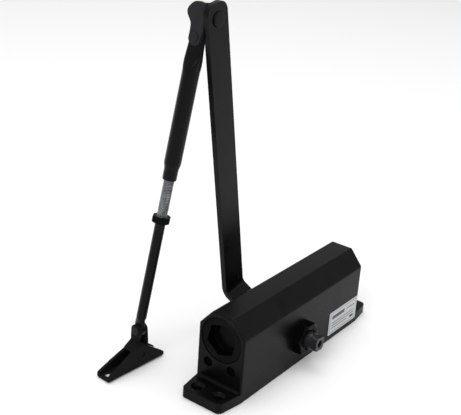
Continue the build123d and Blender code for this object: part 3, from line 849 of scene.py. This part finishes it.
    def gland_nut(self, side: int, node: str) -> None:
        """Builds one gland nut, with its corners chamfered and its outer face dished.

        Args:
            side: -1 for the free end of the pinion and +1 for the arm's end.
            node: the CAD node it stands for.
        """
        centre = (PLACES.pinion[0], PLACES.pinion[2])
        near, far = self.half_width, self.half_width + self.nut_height
        low, high = sorted((side * near, side * far))
        nut = Shape.hexagon(
            Along.Y, self.nut_flats, low, high, centre, self.nut_turn if side < 0 else -self.nut_turn
        )
        corner = self.nut_flats / math.sqrt(3.0)
        cone = [(0.0, near - 1), (corner + 1, near - 1), (corner + 1, near + 0.1), (corner + 0.2, far - 1.3),
                (self.nut_flats / 2 - 0.3, far), (0.0, far)]
        nut.keep(Shape.turned(Along.Y, [(a, side * b) for a, b in cone], centre, 96))
        barrel = [(0.0, near + 0.5), (11.05, near + 0.5), (11.05, near - 5.6), (0.0, near - 5.6)]
        nut.add(Shape.turned(Along.Y, [(a, side * b) for a, b in barrel], centre, 64))
        hollow = [(0.0, far + 1), (9.1, far + 1), (8.9, far), (8.6, far - 0.3), (8.6, far - 1.1),
        (7.6, far - 1.1),
                  (7.08, far - 1.6), (7.08, near - 2.0), (9.5, near - 2.0), (9.5, near - 7.0),
                  (0.0, near - 7.0)]
        nut.cut(Shape.turned(Along.Y, [(a, side * b) for a, b in hollow], centre, 64))
        nut.flatten().round_edges(
            0.25, lambda e: abs(middle(e).y) > near + 0.2, sharper_than=25.0, segments=2
        )
        hand_over(nut, f"{node}_turned", "housing", BLACK_OXIDE, [node])

    def valve(self, side: int, node: str, body: str) -> None:
        """Builds one slotted valve screw.

        Args:
            side: -1 or +1, the side of the body it is on.
            node: the CAD node it stands for.
            body: the body it rides on.
        """
        y, head = side * self.valve_y, -self.half_length + self.valve_recess
        profile = [(0.0, head), (3.3, head), (3.72, head + 0.42), (3.72, -76.65), (2.88, -77.0),
        (2.88, -71.2),
                   (2.0, -71.15), (2.0, -69.25), (2.88, -69.2), (2.88, -66.0), (1.0, -62.0), (0.0, -62.0)]
        screw = Shape.turned(Along.X, profile, (y, self.valve_z), 48)
        blade = Shape.box((head - 1.0, -5.0, -0.55), (head + 1.6, 5.0, 0.55))
        blade.move(
            Matrix.Translation((0.0, y, self.valve_z)) @ Matrix.Rotation(math.radians(side * 35.0), 4, "X")
        )
        screw.cut(blade)
        screw.flatten().round_edges(0.15, lambda e: middle(e).x < head + 1.8, segments=2)
        hand_over(screw, f"{node}_turned", body, BLACK_OXIDE, [node])

    def name_plate(self) -> None:
        """Builds the foil plate and the generic rules printed on it."""
        low, high, back = (37.3, 4.6), (80.9, 25.8), -self.half_width
        plate = Shape.box((low[0], back - 0.4, low[1]), (high[0], back - 0.005, high[1]))
        plate.round_edges(1.0, lambda e: runs(e, Along.Y), segments=6)
        plate.round_edges(0.12, lambda e: middle(e).y < back - 0.3, segments=2)
        hand_over(plate, "name_plate_foil", "housing", FOIL, ["name_plate"])
        front, ink = back - 0.4, 0.02
        bars = [
            (39.0, 24.0, 79.2, 24.35), (39.0, 6.1, 79.2, 6.45), (39.0, 6.1, 39.35, 24.35), (
                78.85, 6.1, 79.2, 24.35
            ),
            (41.5, 18.4, 61.0, 21.6), (64.0, 19.6, 76.5, 20.4),
            (41.5, 14.6, 76.5, 15.3), (41.5, 12.2, 76.5, 12.9), (41.5, 9.8, 66.0, 10.5), (
                70.5, 8.4, 76.5, 10.8
            ),
        ]
        rules = None
        for x0, z0, x1, z1 in bars:
            bar = Shape.box((x0, front - ink, z0), (x1, front + ink, z1))
            rules = bar if rules is None else rules.beside(bar)
        hand_over(rules, "name_plate_rules", "housing", INK)

    def build(self) -> None:
        """Builds every piece of the body."""
        self.casting()
        self.plug(-1, "end_plug_left")
        self.plug(1, "end_plug_right")
        self.gland_nut(-1, "gland_nut_front")
        self.gland_nut(1, "gland_nut_rear")
        self.valve(-1, "closing_valve", "closing_valve_screw")
        self.valve(1, "latching_valve", "latching_valve_screw")
        self.name_plate()


# ---------------------------------------------------------------------------------------------
# Pinion and main arm


@dataclass
class MainArm:
    """The pinion and everything that turns with it."""

    width: float = 22.0
    thickness: float = 4.5
    low_y: float = 28.3
    high_y: float = 43.6
    bend_low: float = 12.0
    bend_high: float = 22.5
    end_radius: float = 11.3
    top_rise: float = 11.9
    corner_radius: float = 8.0
    square: float = 10.9
    teeth: int = 12
    module: float = 1.5

    def pinion(self) -> None:
        """Builds the pinion with its teeth, journals, square ends and threaded holes."""
        centre = (PLACES.pinion[0], PLACES.pinion[2])
        pitch, tooth = self.module * self.teeth / 2, FULL_TURN / self.teeth
        outline: list[Point2] = []
        for k in range(self.teeth):
            for part, radius in ((-0.36, pitch - 1.8), (-0.25, pitch), (-0.13, pitch + 1.4), (0.13,
            pitch + 1.4),
                                 (0.25, pitch), (0.36, pitch - 1.8)):
                angle = tooth * (k + part)
                outline.append((centre[0] + radius * math.cos(angle), centre[1] - radius * math.sin(angle)))
        shaft = Shape.prism(Along.Y, outline, -10.0, 10.0)
        rear = self.low_y - 0.1
        shaft.add(Shape.rod(Along.Y, 7.0, -32.2, rear, centre, 64))
        shaft.add(Shape.turned(Along.Y, ((0.0, -33.3), (6.0, -33.3), (6.0, -32.3), (6.3, -32.0), (6.3,
        -31.0), (0.0, -31.0)),
                               centre, 48))
        half = self.square / 2
        for low, high, turn in (
            (-38.0, -33.2, 8.0), (rear, self.low_y + self.thickness - 0.3, PLACES.arm_lean)
        ):
            drive = Shape.box((-half, low, -half), (half, high, half))
            drive.move(
                Matrix.Translation((centre[0], 0.0, centre[1])) @ Matrix.Rotation(math.radians(turn), 4, "Y")
            )
            edge = 0.45 if low < 0 else 0.0
            limit = [(0.0, low), (7.0 - edge, low), (7.0, low + edge), (7.0, high), (0.0, high)]
            shaft.add(drive.keep(Shape.turned(Along.Y, limit, centre, 64)))
        tip, back = -38.0, self.low_y + self.thickness - 0.3
        front_hole = (
            (0.0, tip - 1), (3.5, tip - 1), (3.5, tip), (2.95, tip + 0.55), (2.95, tip + 12.0), (
                0.0, tip + 13.5
            )
        )
        rear_hole = ((0.0, back + 1), (3.0, back + 1), (3.0, back - 12.0), (0.0, back - 13.5))
        shaft.cut(Shape.turned(Along.Y, front_hole, centre, 40), Shape.turned(Along.Y, rear_hole, centre, 40))
        shaft.flatten().round_edges(0.3, lambda e: middle(e).y < -33.0, segments=2)
        hand_over(shaft, "pinion_turned", "pinion", DARK_STEEL, ["pinion_shaft"])

    def bar(self) -> None:
        """Builds the cranked flat bar with its square hole and rivet hole."""
        rise, run = self.high_y - self.low_y, self.bend_high - self.bend_low
        shift = self.thickness * math.tan(math.atan2(rise, run) / 2)
        t, length = self.thickness, PLACES.arm_length
        top = length + self.top_rise
        side = (
            (self.low_y, -self.end_radius), (self.low_y, self.bend_low), (self.high_y, self.bend_high),
            (self.high_y, top), (self.high_y + t, top), (self.high_y + t, self.bend_high - shift),
            (self.low_y + t, self.bend_low - shift), (self.low_y + t, -self.end_radius),
        )
        half = self.width / 2
        bar = Shape.prism(Along.X, side, -half, half)
        inner = (Vector((self.low_y + t, self.bend_low - shift)), Vector((self.high_y, self.bend_high)))

        def bend(edge: bmesh.types.BMEdge, outer: bool) -> bool:
            """Whether an edge is a bend line, on the inside or the outside of its bend."""
            spot = middle(edge)
            if not runs(edge, Along.X) or not 1.0 < spot.z < 60.0:
                return False
            near = min((Vector((spot.y, spot.z)) - p).length for p in inner) < 0.05
            return near != outer

        bar.round_edges(2.6, lambda e: bend(e, False), sharper_than=10.0, segments=6)
        bar.round_edges(5.6, lambda e: bend(e, True), sharper_than=10.0, segments=8)
        corner, inset = self.corner_radius, half - self.corner_radius
        plan = [*arc((0.0, 0.0), self.end_radius, 180.0 + 13.2, 360.0 - 13.2, 24),
                *arc((inset, top - corner), corner, 0.0, 90.0, 12),
                *arc((-inset, top - corner), corner, 90.0, 180.0, 12)]
        bar.keep(Shape.prism(Along.Y, plan, 0.0, 70.0))
        hole = self.square / 2 + 0.04
        socket = Shape.box((-hole, 20.0, -hole), (hole, 40.0, hole)).keep(
            Shape.rod(Along.Y, 7.05, 19.0, 41.0)
        )
        bar.cut(socket, Shape.rod(Along.Y, 4.0, 40.0, 60.0, (0.0, length), 48))
        bar.flatten().round_edges(0.55, sharper_than=40.0, segments=3)
        hand_over(bar.move(PLACES.arm()), "main_arm_bar", "pinion", ARM_COAT, ["main_arm"])

    def fasteners(self) -> None:
        """Builds the arm screw, its washer and the elbow rivet."""
        face = self.low_y + self.thickness
        washer = Shape.turned(Along.Y, ((3.1, face), (7.8, face), (8.0, face + 0.2), (8.0, face + 1.3),
        (7.8, face + 1.5),
                                        (3.1, face + 1.5)), steps=64)
        hand_over(
            washer.move(PLACES.arm()), "arm_washer_pressed", "pinion", BLACK_OXIDE, [
                "arm_washer"
            ]
        )
        seat = face + 1.5
        head = Shape.hexagon(Along.Y, 10.0, seat, seat + 4.0, (0.0, 0.0), 12.0)
        crown = [
            (0.0, seat), (6.0, seat), (6.0, seat + 3.1), (4.7, seat + 4.0), (3.4, seat + 4.0),
            (3.0, seat + 3.7), (
                0.0, seat + 3.7
            )
        ]
        head.keep(Shape.turned(Along.Y, crown, steps=64))
        head.add(Shape.rod(Along.Y, 2.98, face - 10.5, seat + 0.5, steps=40))
        head.flatten().round_edges(0.2, lambda e: middle(e).y > seat + 0.2, segments=2)
        hand_over(
            head.move(PLACES.arm()), "arm_screw_headed", "pinion", BLACK_OXIDE, ["arm_screw"]
        )
        centre = (0.0, PLACES.arm_length)
        back = self.high_y + self.thickness + 0.1 + 3.0 + 0.05
        front = rivet_head(5.6, 1.3, self.high_y, -1.0)
        rear = rivet_head(5.8, 1.8, back, 1.0)
        profile = [*reversed(front[1:]), (4.0, self.high_y), (3.99, back), *rear[1:]]
        rivet = Shape.turned(Along.Y, profile, centre, 64)
        hand_over(
            rivet.move(PLACES.arm()), "elbow_rivet_headed", "pinion", ARM_COAT, ["elbow_rivet"]
        )

    def build(self) -> None:
        """Builds the pinion, the bar and their fasteners."""
        self.pinion()
        self.bar()
        self.fasteners()


# ---------------------------------------------------------------------------------------------
# Forearm


@dataclass
class Forearm:
    """The elbow link, the tube, the threaded rod and its lock nut."""

    link_thickness: float = 3.0
    link_front: float = 48.2
    link_face: float = -10.15
    link_radius: float = 10.0
    tube_radius: float = 6.35
    end_round: float = 6.1
    flat_half: float = 1.8
    neck_start: float = 92.5
    neck_radius: float = 5.35
    tube_end: float = 106.0
    rod_radius: float = 4.0
    nut_top: float = 134.8
    nut_height: float = 5.0
    nut_flats: float = 13.0
    pitch: float = 1.25

    def link(self) -> None:
        """Builds the folded plate that joins the two rivets."""
        y0, y1 = self.link_front, self.link_front + self.link_thickness
        x0, x1 = self.link_face, self.link_face + self.link_thickness
        ty, tz = PLACES.tilt[1], PLACES.tilt[2]
        lobe = [(x0, -4.0), *arc((0.0, 0.0), self.link_radius, 200.0, 450.0, 40), (x0, self.link_radius)]
        front = Shape.prism(Along.Y, lobe, y0, y1)
        round_end = arc((ty - 0.5, tz - 0.74), 5.1, 185.0, 365.0, 28)
        outline = [(y0, self.link_radius), (y0, -9.0), (y0 + 0.5, -12.0), *round_end, (ty + 4.3, -12.0),
        (ty + 4.1, -9.0),
                   (ty + 4.1, -6.4), (ty + 4.5, -4.6), (ty + 5.5, -2.9), (ty + 6.9, -1.1), (ty + 8.0, 0.6),
                   (ty + 8.5, 2.4), (ty + 8.3, 4.2), (ty + 7.4, 5.9), (ty + 6.0, 7.5), (ty + 4.5, 8.8),
                   (ty + 2.9, 9.8), (ty + 1.2, 10.3), (ty - 0.8, 10.4), (ty - 3.2, 10.1)]
        side = Shape.prism(Along.X, outline, x0, x1)
        link = front.add(side).flatten()
        link.round_edges(
            3.2,
            lambda e: runs(e, Along.Z) and abs(middle(e).x - x0) < 0.05 and abs(middle(e).y - y0) < 0.05,
            segments=6,
        )
        link.cut(
            Shape.rod(Along.Y, 4.05, 40.0, 60.0, steps=48), Shape.rod(Along.X, 2.75, -20.0, 0.0, (ty, tz), 40)
        )
        link.round_edges(0.4, sharper_than=50.0, segments=2)
        hand_over(
            link.move(PLACES.link()), "elbow_link_pressed", "link", LINK_COAT, ["elbow_link"]
        )

    def tilt_rivet(self) -> None:
        """Builds the rivet through the link and the flattened tube."""
        inner = PLACES.tilt[0] + self.flat_half + 0.1
        outer_head = rivet_head(3.7, 1.1, self.link_face, -1.0)
        inner_head = rivet_head(4.4, 1.3, inner, 1.0)
        profile = [*reversed(outer_head[1:]), (2.74, self.link_face), (2.74, inner), *inner_head[1:]]
        rivet = Shape.turned(Along.X, profile, (PLACES.tilt[1], PLACES.tilt[2]), 48)
        hand_over(
            rivet.move(PLACES.link()), "tilt_rivet_headed", "link", LINK_COAT, ["tilt_rivet"]
        )

    def _tube_ring(self, s: float, count: int = 56) -> list[Vector]:
        """One cross-section of the tube's outside.

        Args:
            s: distance down the tube from the tilt rivet.
            count: points round the ring.

        Returns:
            The ring's points.
        """
        r = self.tube_radius
        blend = min(max((s - 9.0) / 17.0, 0.0), 1.0)
        blend = blend * blend * (3 - 2 * blend)
        thick = self.flat_half + (r - self.flat_half) * blend
        flare = 0.9 * math.sin(math.pi * min(max((s - 2.0) / 26.0, 0.0), 1.0)) * (1 - blend)
        wide = self.end_round + (r - self.end_round) * blend + flare
        if s < 0:
            wide = math.sqrt(max(self.end_round**2 - s * s, 0.16))
        if s > self.neck_start:
            fall = min((s - self.neck_start) / 6.0, 1.0)
            fall = fall * fall * (3 - 2 * fall)
            thick = wide = r + (self.neck_radius - r) * fall
        power = 2.0 / (2.0 + 3.5 * (1 - blend)) if s <= self.neck_start else 1.0
        ring = []
        for k in range(count):
            angle = FULL_TURN * k / count
            c, n = math.cos(angle), math.sin(angle)
            ring.append(
                Vector(
                    (thick * math.copysign(abs(c) ** power, c), wide * math.copysign(abs(n) ** power, n), -s)
                )
            )
        return ring

    def tube(self) -> None:
        """Builds the tube, pressed flat at the elbow and necked where the rod enters."""
        top = [-6.05, -5.9, -5.5, -4.8, -3.8, -2.6, -1.2, 0.0, 2.5, 5.0, 7.5]
        wedge = [9.0 + 17.0 * k / 12 for k in range(13)]
        body = [40.0, 60.0, 80.0, self.neck_start]
        neck = [self.neck_start + 0.75 * k for k in range(1, 9)] + [101.0, 104.5]
        rings = [self._tube_ring(s) for s in top + wedge + body + neck]
        count = len(rings[0])
        for radius, s in (
            (5.33, 105.3), (5.2, 105.75), (4.9, 106.0), (4.3, 106.0), (4.07, 105.7), (4.05, 70.0), (
                4.05, 32.0
            )
        ):
            angles = [FULL_TURN * k / count for k in range(count)]
            rings.append([Vector((radius * math.cos(a), radius * math.sin(a), -s)) for a in angles])
        tube = Shape.lofted(rings)
        tube.cut(Shape.rod(Along.X, 2.8, -20.0, 20.0, steps=40))
        hand_over(
            tube.move(PLACES.forearm()), "forearm_tube_drawn", "forearm", TUBE_COAT, [
                "forearm_tube"
            ]
        )

    def thread(self) -> None:
        """Builds the plated threaded half of the rod as one screw-shaped skin."""
        start, end = 40.0, 146.0
        turns, steps = int((end - start) / self.pitch), 28
        mesh = bmesh.new()
        crest, root, p = self.rod_radius - 0.02, self.rod_radius - 0.62, self.pitch
        profile = [
            (root, 0.0), (root, -0.1 * p), (crest, -0.44 * p), (crest, -0.56 * p), (root, -0.9 * p), (
                root, -p
            )
        ]
        points = [mesh.verts.new((r, 0.0, -start + h)) for r, h in profile]
        for a, b in zip(points, points[1:]):
            mesh.edges.new((a, b))
        bmesh.ops.spin(
            mesh, geom=mesh.verts[:] + mesh.edges[:], cent=(0, 0, 0), axis=(0, 0, -1), dvec=(
                0, 0, -p / steps
            ),
            angle=FULL_TURN * turns, steps=steps * turns, use_merge=False,
        )
        bmesh.ops.remove_doubles(mesh, verts=mesh.verts, dist=1e-3)
        bmesh.ops.holes_fill(mesh, edges=[e for e in mesh.edges if e.is_boundary], sides=0)
        bmesh.ops.triangulate(mesh, faces=[f for f in mesh.faces if len(f.verts) > 4])
        thread = Shape(mesh)
        hand_over(thread.move(PLACES.forearm()), "rod_thread", "rod", ZINC, ["adjusting_rod"])

    def shank(self) -> None:
        """Builds the painted lower half of the rod, with its shoulder and flattened eye."""
        to_forearm = PLACES.forearm().inverted() @ PLACES.shoe()
        count, rings = 48, []
        angles = [FULL_TURN * k / count for k in range(count)]
        for radius, s in ((3.5, 139.0), (3.98, 139.6), (3.98, 219.4), (3.7, 219.8), (3.7, 220.2)):
            rings.append([Vector((radius * math.cos(a), radius * math.sin(a), -s)) for a in angles])
        eye_half, eye_middle = 1.7, 0.6
        for share in (0.25, 0.5, 0.75, 1.0):
            height = 9.6 - 7.6 * share
            flat = eye_half + (3.6 - eye_half) * (1 - share) ** 1.6
            wide = 3.7 + 1.0 * share
            power = 1.0 - 0.5 * share
            base = Vector((0.0, 0.0, -220.2)).lerp(
                to_forearm @ Vector((eye_middle, 0.0, height)), 0.35 + 0.65 * share
            )
            ring = []
            for a in angles:
                c, n = math.cos(a), math.sin(a)
                across = Vector(
                    (flat * math.copysign(abs(c) ** power, c), wide * math.copysign(abs(n) ** power, n), 0.0)
                )
                ring.append(base + to_forearm.to_3x3() @ across)
            rings.append(ring)
        shank = Shape.lofted(rings).move(PLACES.forearm())
        eye = Shape.rod(Along.X, 5.2, eye_middle - eye_half, eye_middle + eye_half, steps=48)
        eye.round_edges(0.45, segments=3)
        shank.add(eye.move(PLACES.shoe()))
        shank.cut(Shape.rod(Along.X, 2.55, -9.0, 9.0, steps=40).move(PLACES.shoe()))
        hand_over(shank, "rod_shank", "rod", TUBE_COAT)

    def lock_nut(self) -> None:
        """Builds the lock nut with both of its faces chamfered."""
        low, high = -self.nut_top - self.nut_height, -self.nut_top
        nut = Shape.hexagon(Along.Z, self.nut_flats, low, high, (0.0, 0.0), 34.0)
        corner, inner = self.nut_flats / math.sqrt(3.0), self.nut_flats / 2 - 0.3
        cone = (
            (0.0, low), (inner, low), (corner + 0.1, low + 0.75), (corner + 0.1, high - 0.75),
            (inner, high), (
                0.0, high
            )
        )
        nut.keep(Shape.turned(Along.Z, cone, steps=72))
        bore = ((0.0, low - 1), (4.7, low - 1), (4.7, low), (4.06, low + 0.7), (4.06, high - 0.7),
        (4.7, high),
                (4.7, high + 1), (0.0, high + 1))
        nut.cut(Shape.turned(Along.Z, bore, steps=48))
        nut.flatten().round_edges(0.22, sharper_than=25.0, segments=2)
        hand_over(
            nut.move(PLACES.forearm()), "lock_nut_formed", "nut", BLACK_OXIDE, ["lock_nut"]
        )

    def build(self) -> None:
        """Builds every piece of the forearm."""
        self.link()
        self.tilt_rivet()
        self.tube()
        self.thread()
        self.shank()
        self.lock_nut()


# ---------------------------------------------------------------------------------------------
# Shoe


@dataclass
class Shoe:
    """The pressed frame shoe and its rivet; heights here count from the shoe's floor."""

    pivot_height: float = 28.1
    gauge: float = 2.2
    left: float = -37.7
    right: float = 20.0
    front: float = -8.1
    back: float = 5.2
    lug_left: float = -3.4
    lug_right: float = 4.6
    lug_radius: float = 5.0
    holes: tuple[tuple[float, float], ...] = ((-31.3, 3.7), (14.5, 3.1))

    def _wall(self, outline: Sequence[Point2], y: float) -> Shape:
        """One upright wall, with its outline in X and height."""
        return Shape.prism(Along.Y, outline, y, y + self.gauge)

    def _lug(self, x: float, near: float, far: float) -> Shape:
        """One lug of the clevis.

        Args:
            x: its left face.
            near: the front edge of its root.
            far: the rear edge of its root.

        Returns:
            The lug.
        """
        h, r = self.pivot_height, self.lug_radius
        outline = [
            *arc((0.0, h), r, 0.0, 180.0, 20), (near, h - 9.0), (near, h - 13.0), (far, h - 13.0), (
                far, h - 9.0
            )
        ]
        return Shape.prism(Along.X, outline, x, x + self.gauge)

    def shoe(self) -> None:
        """Builds the pressed shoe with its channel, strap and clevis."""
        t, h = self.gauge, self.pivot_height
        floor = Shape.box((self.left, self.front, 0.0), (self.right, self.back, t))
        front = self._wall(
            ((self.left, 0.0), (self.left, 3.0), (-37.2, 4.0), (-35.5, 5.3), (-31.0, 7.0), (-26.8, 9.2),
            (-15.7, 15.0),
             (-10.2, 17.9), (-8.6, 18.3), (-0.8, 18.2), (0.9, 17.6), (3.4, 15.4), (18.4, 4.9), (19.6, 3.8),
             (self.right, 2.9), (self.right, 0.0)),
            self.front,
        )
        back = self._wall(
            ((self.left, 0.0), (self.left, 3.6), (-36.8, 4.6), (-24.9, 9.3), (-11.0, 14.0), (-4.9, 18.2),
            (0.0, 18.1),
             (3.4, 15.4), (18.4, 4.9), (19.6, 3.8), (self.right, 2.9), (self.right, 0.0)),
            self.back - t,
        )
        strap = Shape.prism(
            Along.Y,
            ((-11.0, 14.0), (-10.2, 14.9), (-4.9, 18.2), (self.lug_left, 19.2), (self.lug_left + t, 19.2),
             (self.lug_left + t, 17.4), (-9.6, 11.8)),
            self.front + 0.5, self.back,
        )
        shoe = floor.add(front, back, strap, self._lug(self.lug_left, -3.6, self.back),
                         self._lug(self.lug_right - t, self.front + t, self.back - 1.0),
                         Shape.box((self.lug_right - t, self.front + 1.0, 1.0),
                         (self.lug_right, self.back - 1.0, 15.2)))
        shoe.flatten()
        middle_y = (self.front + self.back) / 2
        shoe.round_edges(
            1.6,
            lambda e: runs(e, Along.X) and middle(e).z < 0.05
            and (abs(middle(e).y - self.front) < 0.05 or abs(middle(e).y - self.back) < 0.05),
            segments=5,
        )
        for x, radius in self.holes:
            shoe.cut(Shape.rod(Along.Z, radius, -1.0, t + 1.0, (x, middle_y), 40))
        shoe.cut(Shape.rod(Along.Y, 2.4, self.front - 1, self.front + 0.6, (-2.6, 10.4), 40),
                 Shape.rod(Along.X, 2.5, -10.0, 10.0, (0.0, h), 40))
        shoe.round_edges(0.38, sharper_than=40.0, segments=2)
        shoe.move(PLACES.shoe() @ Matrix.Translation((0.0, 0.0, -h)))
        hand_over(shoe, "frame_shoe_pressed", "shoe", SHOE_COAT, ["frame_shoe"])

    def rivet(self) -> None:
        """Builds the rivet through the clevis and the rod's eye."""
        left_head = rivet_head(3.6, 1.1, self.lug_left, -1.0)
        right_head = rivet_head(3.8, 1.3, self.lug_right, 1.0)
        profile = [*reversed(left_head[1:]), (2.49, self.lug_left), (2.49, self.lug_right), *right_head[1:]]
        rivet = Shape.turned(Along.X, profile, steps=48)
        hand_over(
            rivet.move(PLACES.shoe()), "shoe_rivet_headed", "shoe", RIVET_COAT, ["shoe_rivet"]
        )

    def build(self) -> None:
        """Builds the shoe and its rivet."""
        self.shoe()
        self.rivet()


# ---------------------------------------------------------------------------------------------
# Pieces inside the body, shown as the CAD has them


@dataclass
class InnerWorks:
    """The pieces inside the body, which keep their CAD shapes and get their real finishes."""

    finishes: dict[str, Any] = field(
        default_factory=lambda: {
            "rack_piston": DARK_STEEL,
            "piston_ring": RING_PLASTIC,
            "check_seat": GROUND_STEEL,
            "check_ball": GROUND_STEEL,
            "spring_seat": GROUND_STEEL,
            "closing_spring": SPRING_STEEL,
            "bearing_front": GROUND_STEEL,
            "bearing_rear": GROUND_STEEL,
            "shaft_seal_front": SEAL_RUBBER,
            "shaft_seal_rear": SEAL_RUBBER,
            "plug_ring_left": SEAL_RUBBER,
            "plug_ring_right": SEAL_RUBBER,
            "valve_ring_closing": SEAL_RUBBER,
            "valve_ring_latching": SEAL_RUBBER,
        }
    )

    def build(self) -> None:
        """Dresses each inner piece."""
        for node, finish in self.finishes.items():
            dress(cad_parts[node], finish)
            logger.info("%s: dressed as %s", node, finish.name)


# ---------------------------------------------------------------------------------------------
# Studio


@dataclass
class Studio:
    """The floor, the soft light and the camera."""

    azimuth: float = -54.22
    elevation: float = 23.52
    roll: float = 3.96
    lens: float = 75.35
    spot: tuple[float, float, float] = (-573.6, -353.9, 414.7)
    key: float = 15.0
    fill: float = 4.5
    top: float = 20.0
    sky: float = 0.66

    def floor(self) -> None:
        """Lays a plain pale floor just under the mounting plane."""
        mesh = bmesh.new()
        bmesh.ops.create_grid(mesh, x_segments=1, y_segments=1, size=6.0)
        bmesh.ops.translate(mesh, vec=(0.0, 0.0, -0.0005), verts=mesh.verts)
        data = bpy.data.meshes.new("floor")
        mesh.to_mesh(data)
        mesh.free()
        ground = bpy.data.objects.new("floor", data)
        bpy.context.scene.collection.objects.link(ground)
        material, shader = new_material("pale studio floor")
        shader.inputs["Base Color"].default_value = linear("#f4f4f4")
        shader.inputs["Roughness"].default_value = 0.9
        shader.inputs["Specular IOR Level"].default_value = 0.1
        data.materials.append(material)

    def lamp(self, name: str, spot: Sequence[float], size: float, power: float) -> None:
        """Hangs one soft square lamp that faces the object.

        Args:
            name: the lamp's name.
            spot: where it hangs, in metres.
            size: the side of its square, in metres.
            power: its power in watts.
        """
        data = bpy.data.lights.new(name, "AREA")
        data.shape = "SQUARE"
        data.size = size
        data.energy = power
        lamp = bpy.data.objects.new(name, data)
        lamp.location = spot
        aim = Vector((-0.03, 0.02, 0.12)) - Vector(spot)
        lamp.rotation_mode = "QUATERNION"
        lamp.rotation_quaternion = aim.to_track_quat("-Z", "Y")
        bpy.context.scene.collection.objects.link(lamp)

    def world(self) -> None:
        """Sets an even white surround."""
        world = bpy.data.worlds.new("studio")
        world.use_nodes = True
        background = world.node_tree.nodes["Background"]
        background.inputs["Color"].default_value = (1.0, 1.0, 1.0, 1.0)
        background.inputs["Strength"].default_value = self.sky
        bpy.context.scene.world = world

    def camera(self) -> None:
        """Places the camera by its angles and its roll."""
        a, e, t = (math.radians(v) for v in (self.azimuth, self.elevation, self.roll))
        back = Vector((math.sin(a) * math.cos(e), -math.cos(a) * math.cos(e), math.sin(e)))
        right = (-back).cross(Vector((0.0, 0.0, 1.0))).normalized()
        up = right.cross(-back)
        x_axis = right * math.cos(t) + up * math.sin(t)
        y_axis = up * math.cos(t) - right * math.sin(t)
        data = bpy.data.cameras.new("camera")
        data.lens = self.lens
        data.sensor_width = 36.0
        data.clip_start, data.clip_end = 0.01, 50.0
        camera = bpy.data.objects.new("camera", data)
        turn = Matrix((x_axis, y_axis, back)).transposed().to_4x4()
        camera.matrix_world = Matrix.Translation(Vector(self.spot) * MM) @ turn
        bpy.context.scene.collection.objects.link(camera)
        bpy.context.scene.camera = camera

    def build(self) -> None:
        """Sets up the whole studio."""
        self.floor()
        self.world()
        self.lamp("key lamp", (-1.6, -0.3, 1.5), 1.2, self.key)
        self.lamp("fill lamp", (0.9, -1.7, 1.1), 1.2, self.fill)
        self.lamp("top lamp", (0.2, 0.3, 2.2), 1.6, self.top)
        self.camera()
        bpy.context.scene.view_settings.view_transform = "Standard"


def main() -> None:
    """Builds the closer piece by piece, then the studio."""
    for group in (Body(), MainArm(), Forearm(), Shoe(), InnerWorks()):
        logger.info("building %s", type(group).__name__)
        group.build()
    Studio().build()


if __name__ == "__main__":
    main()
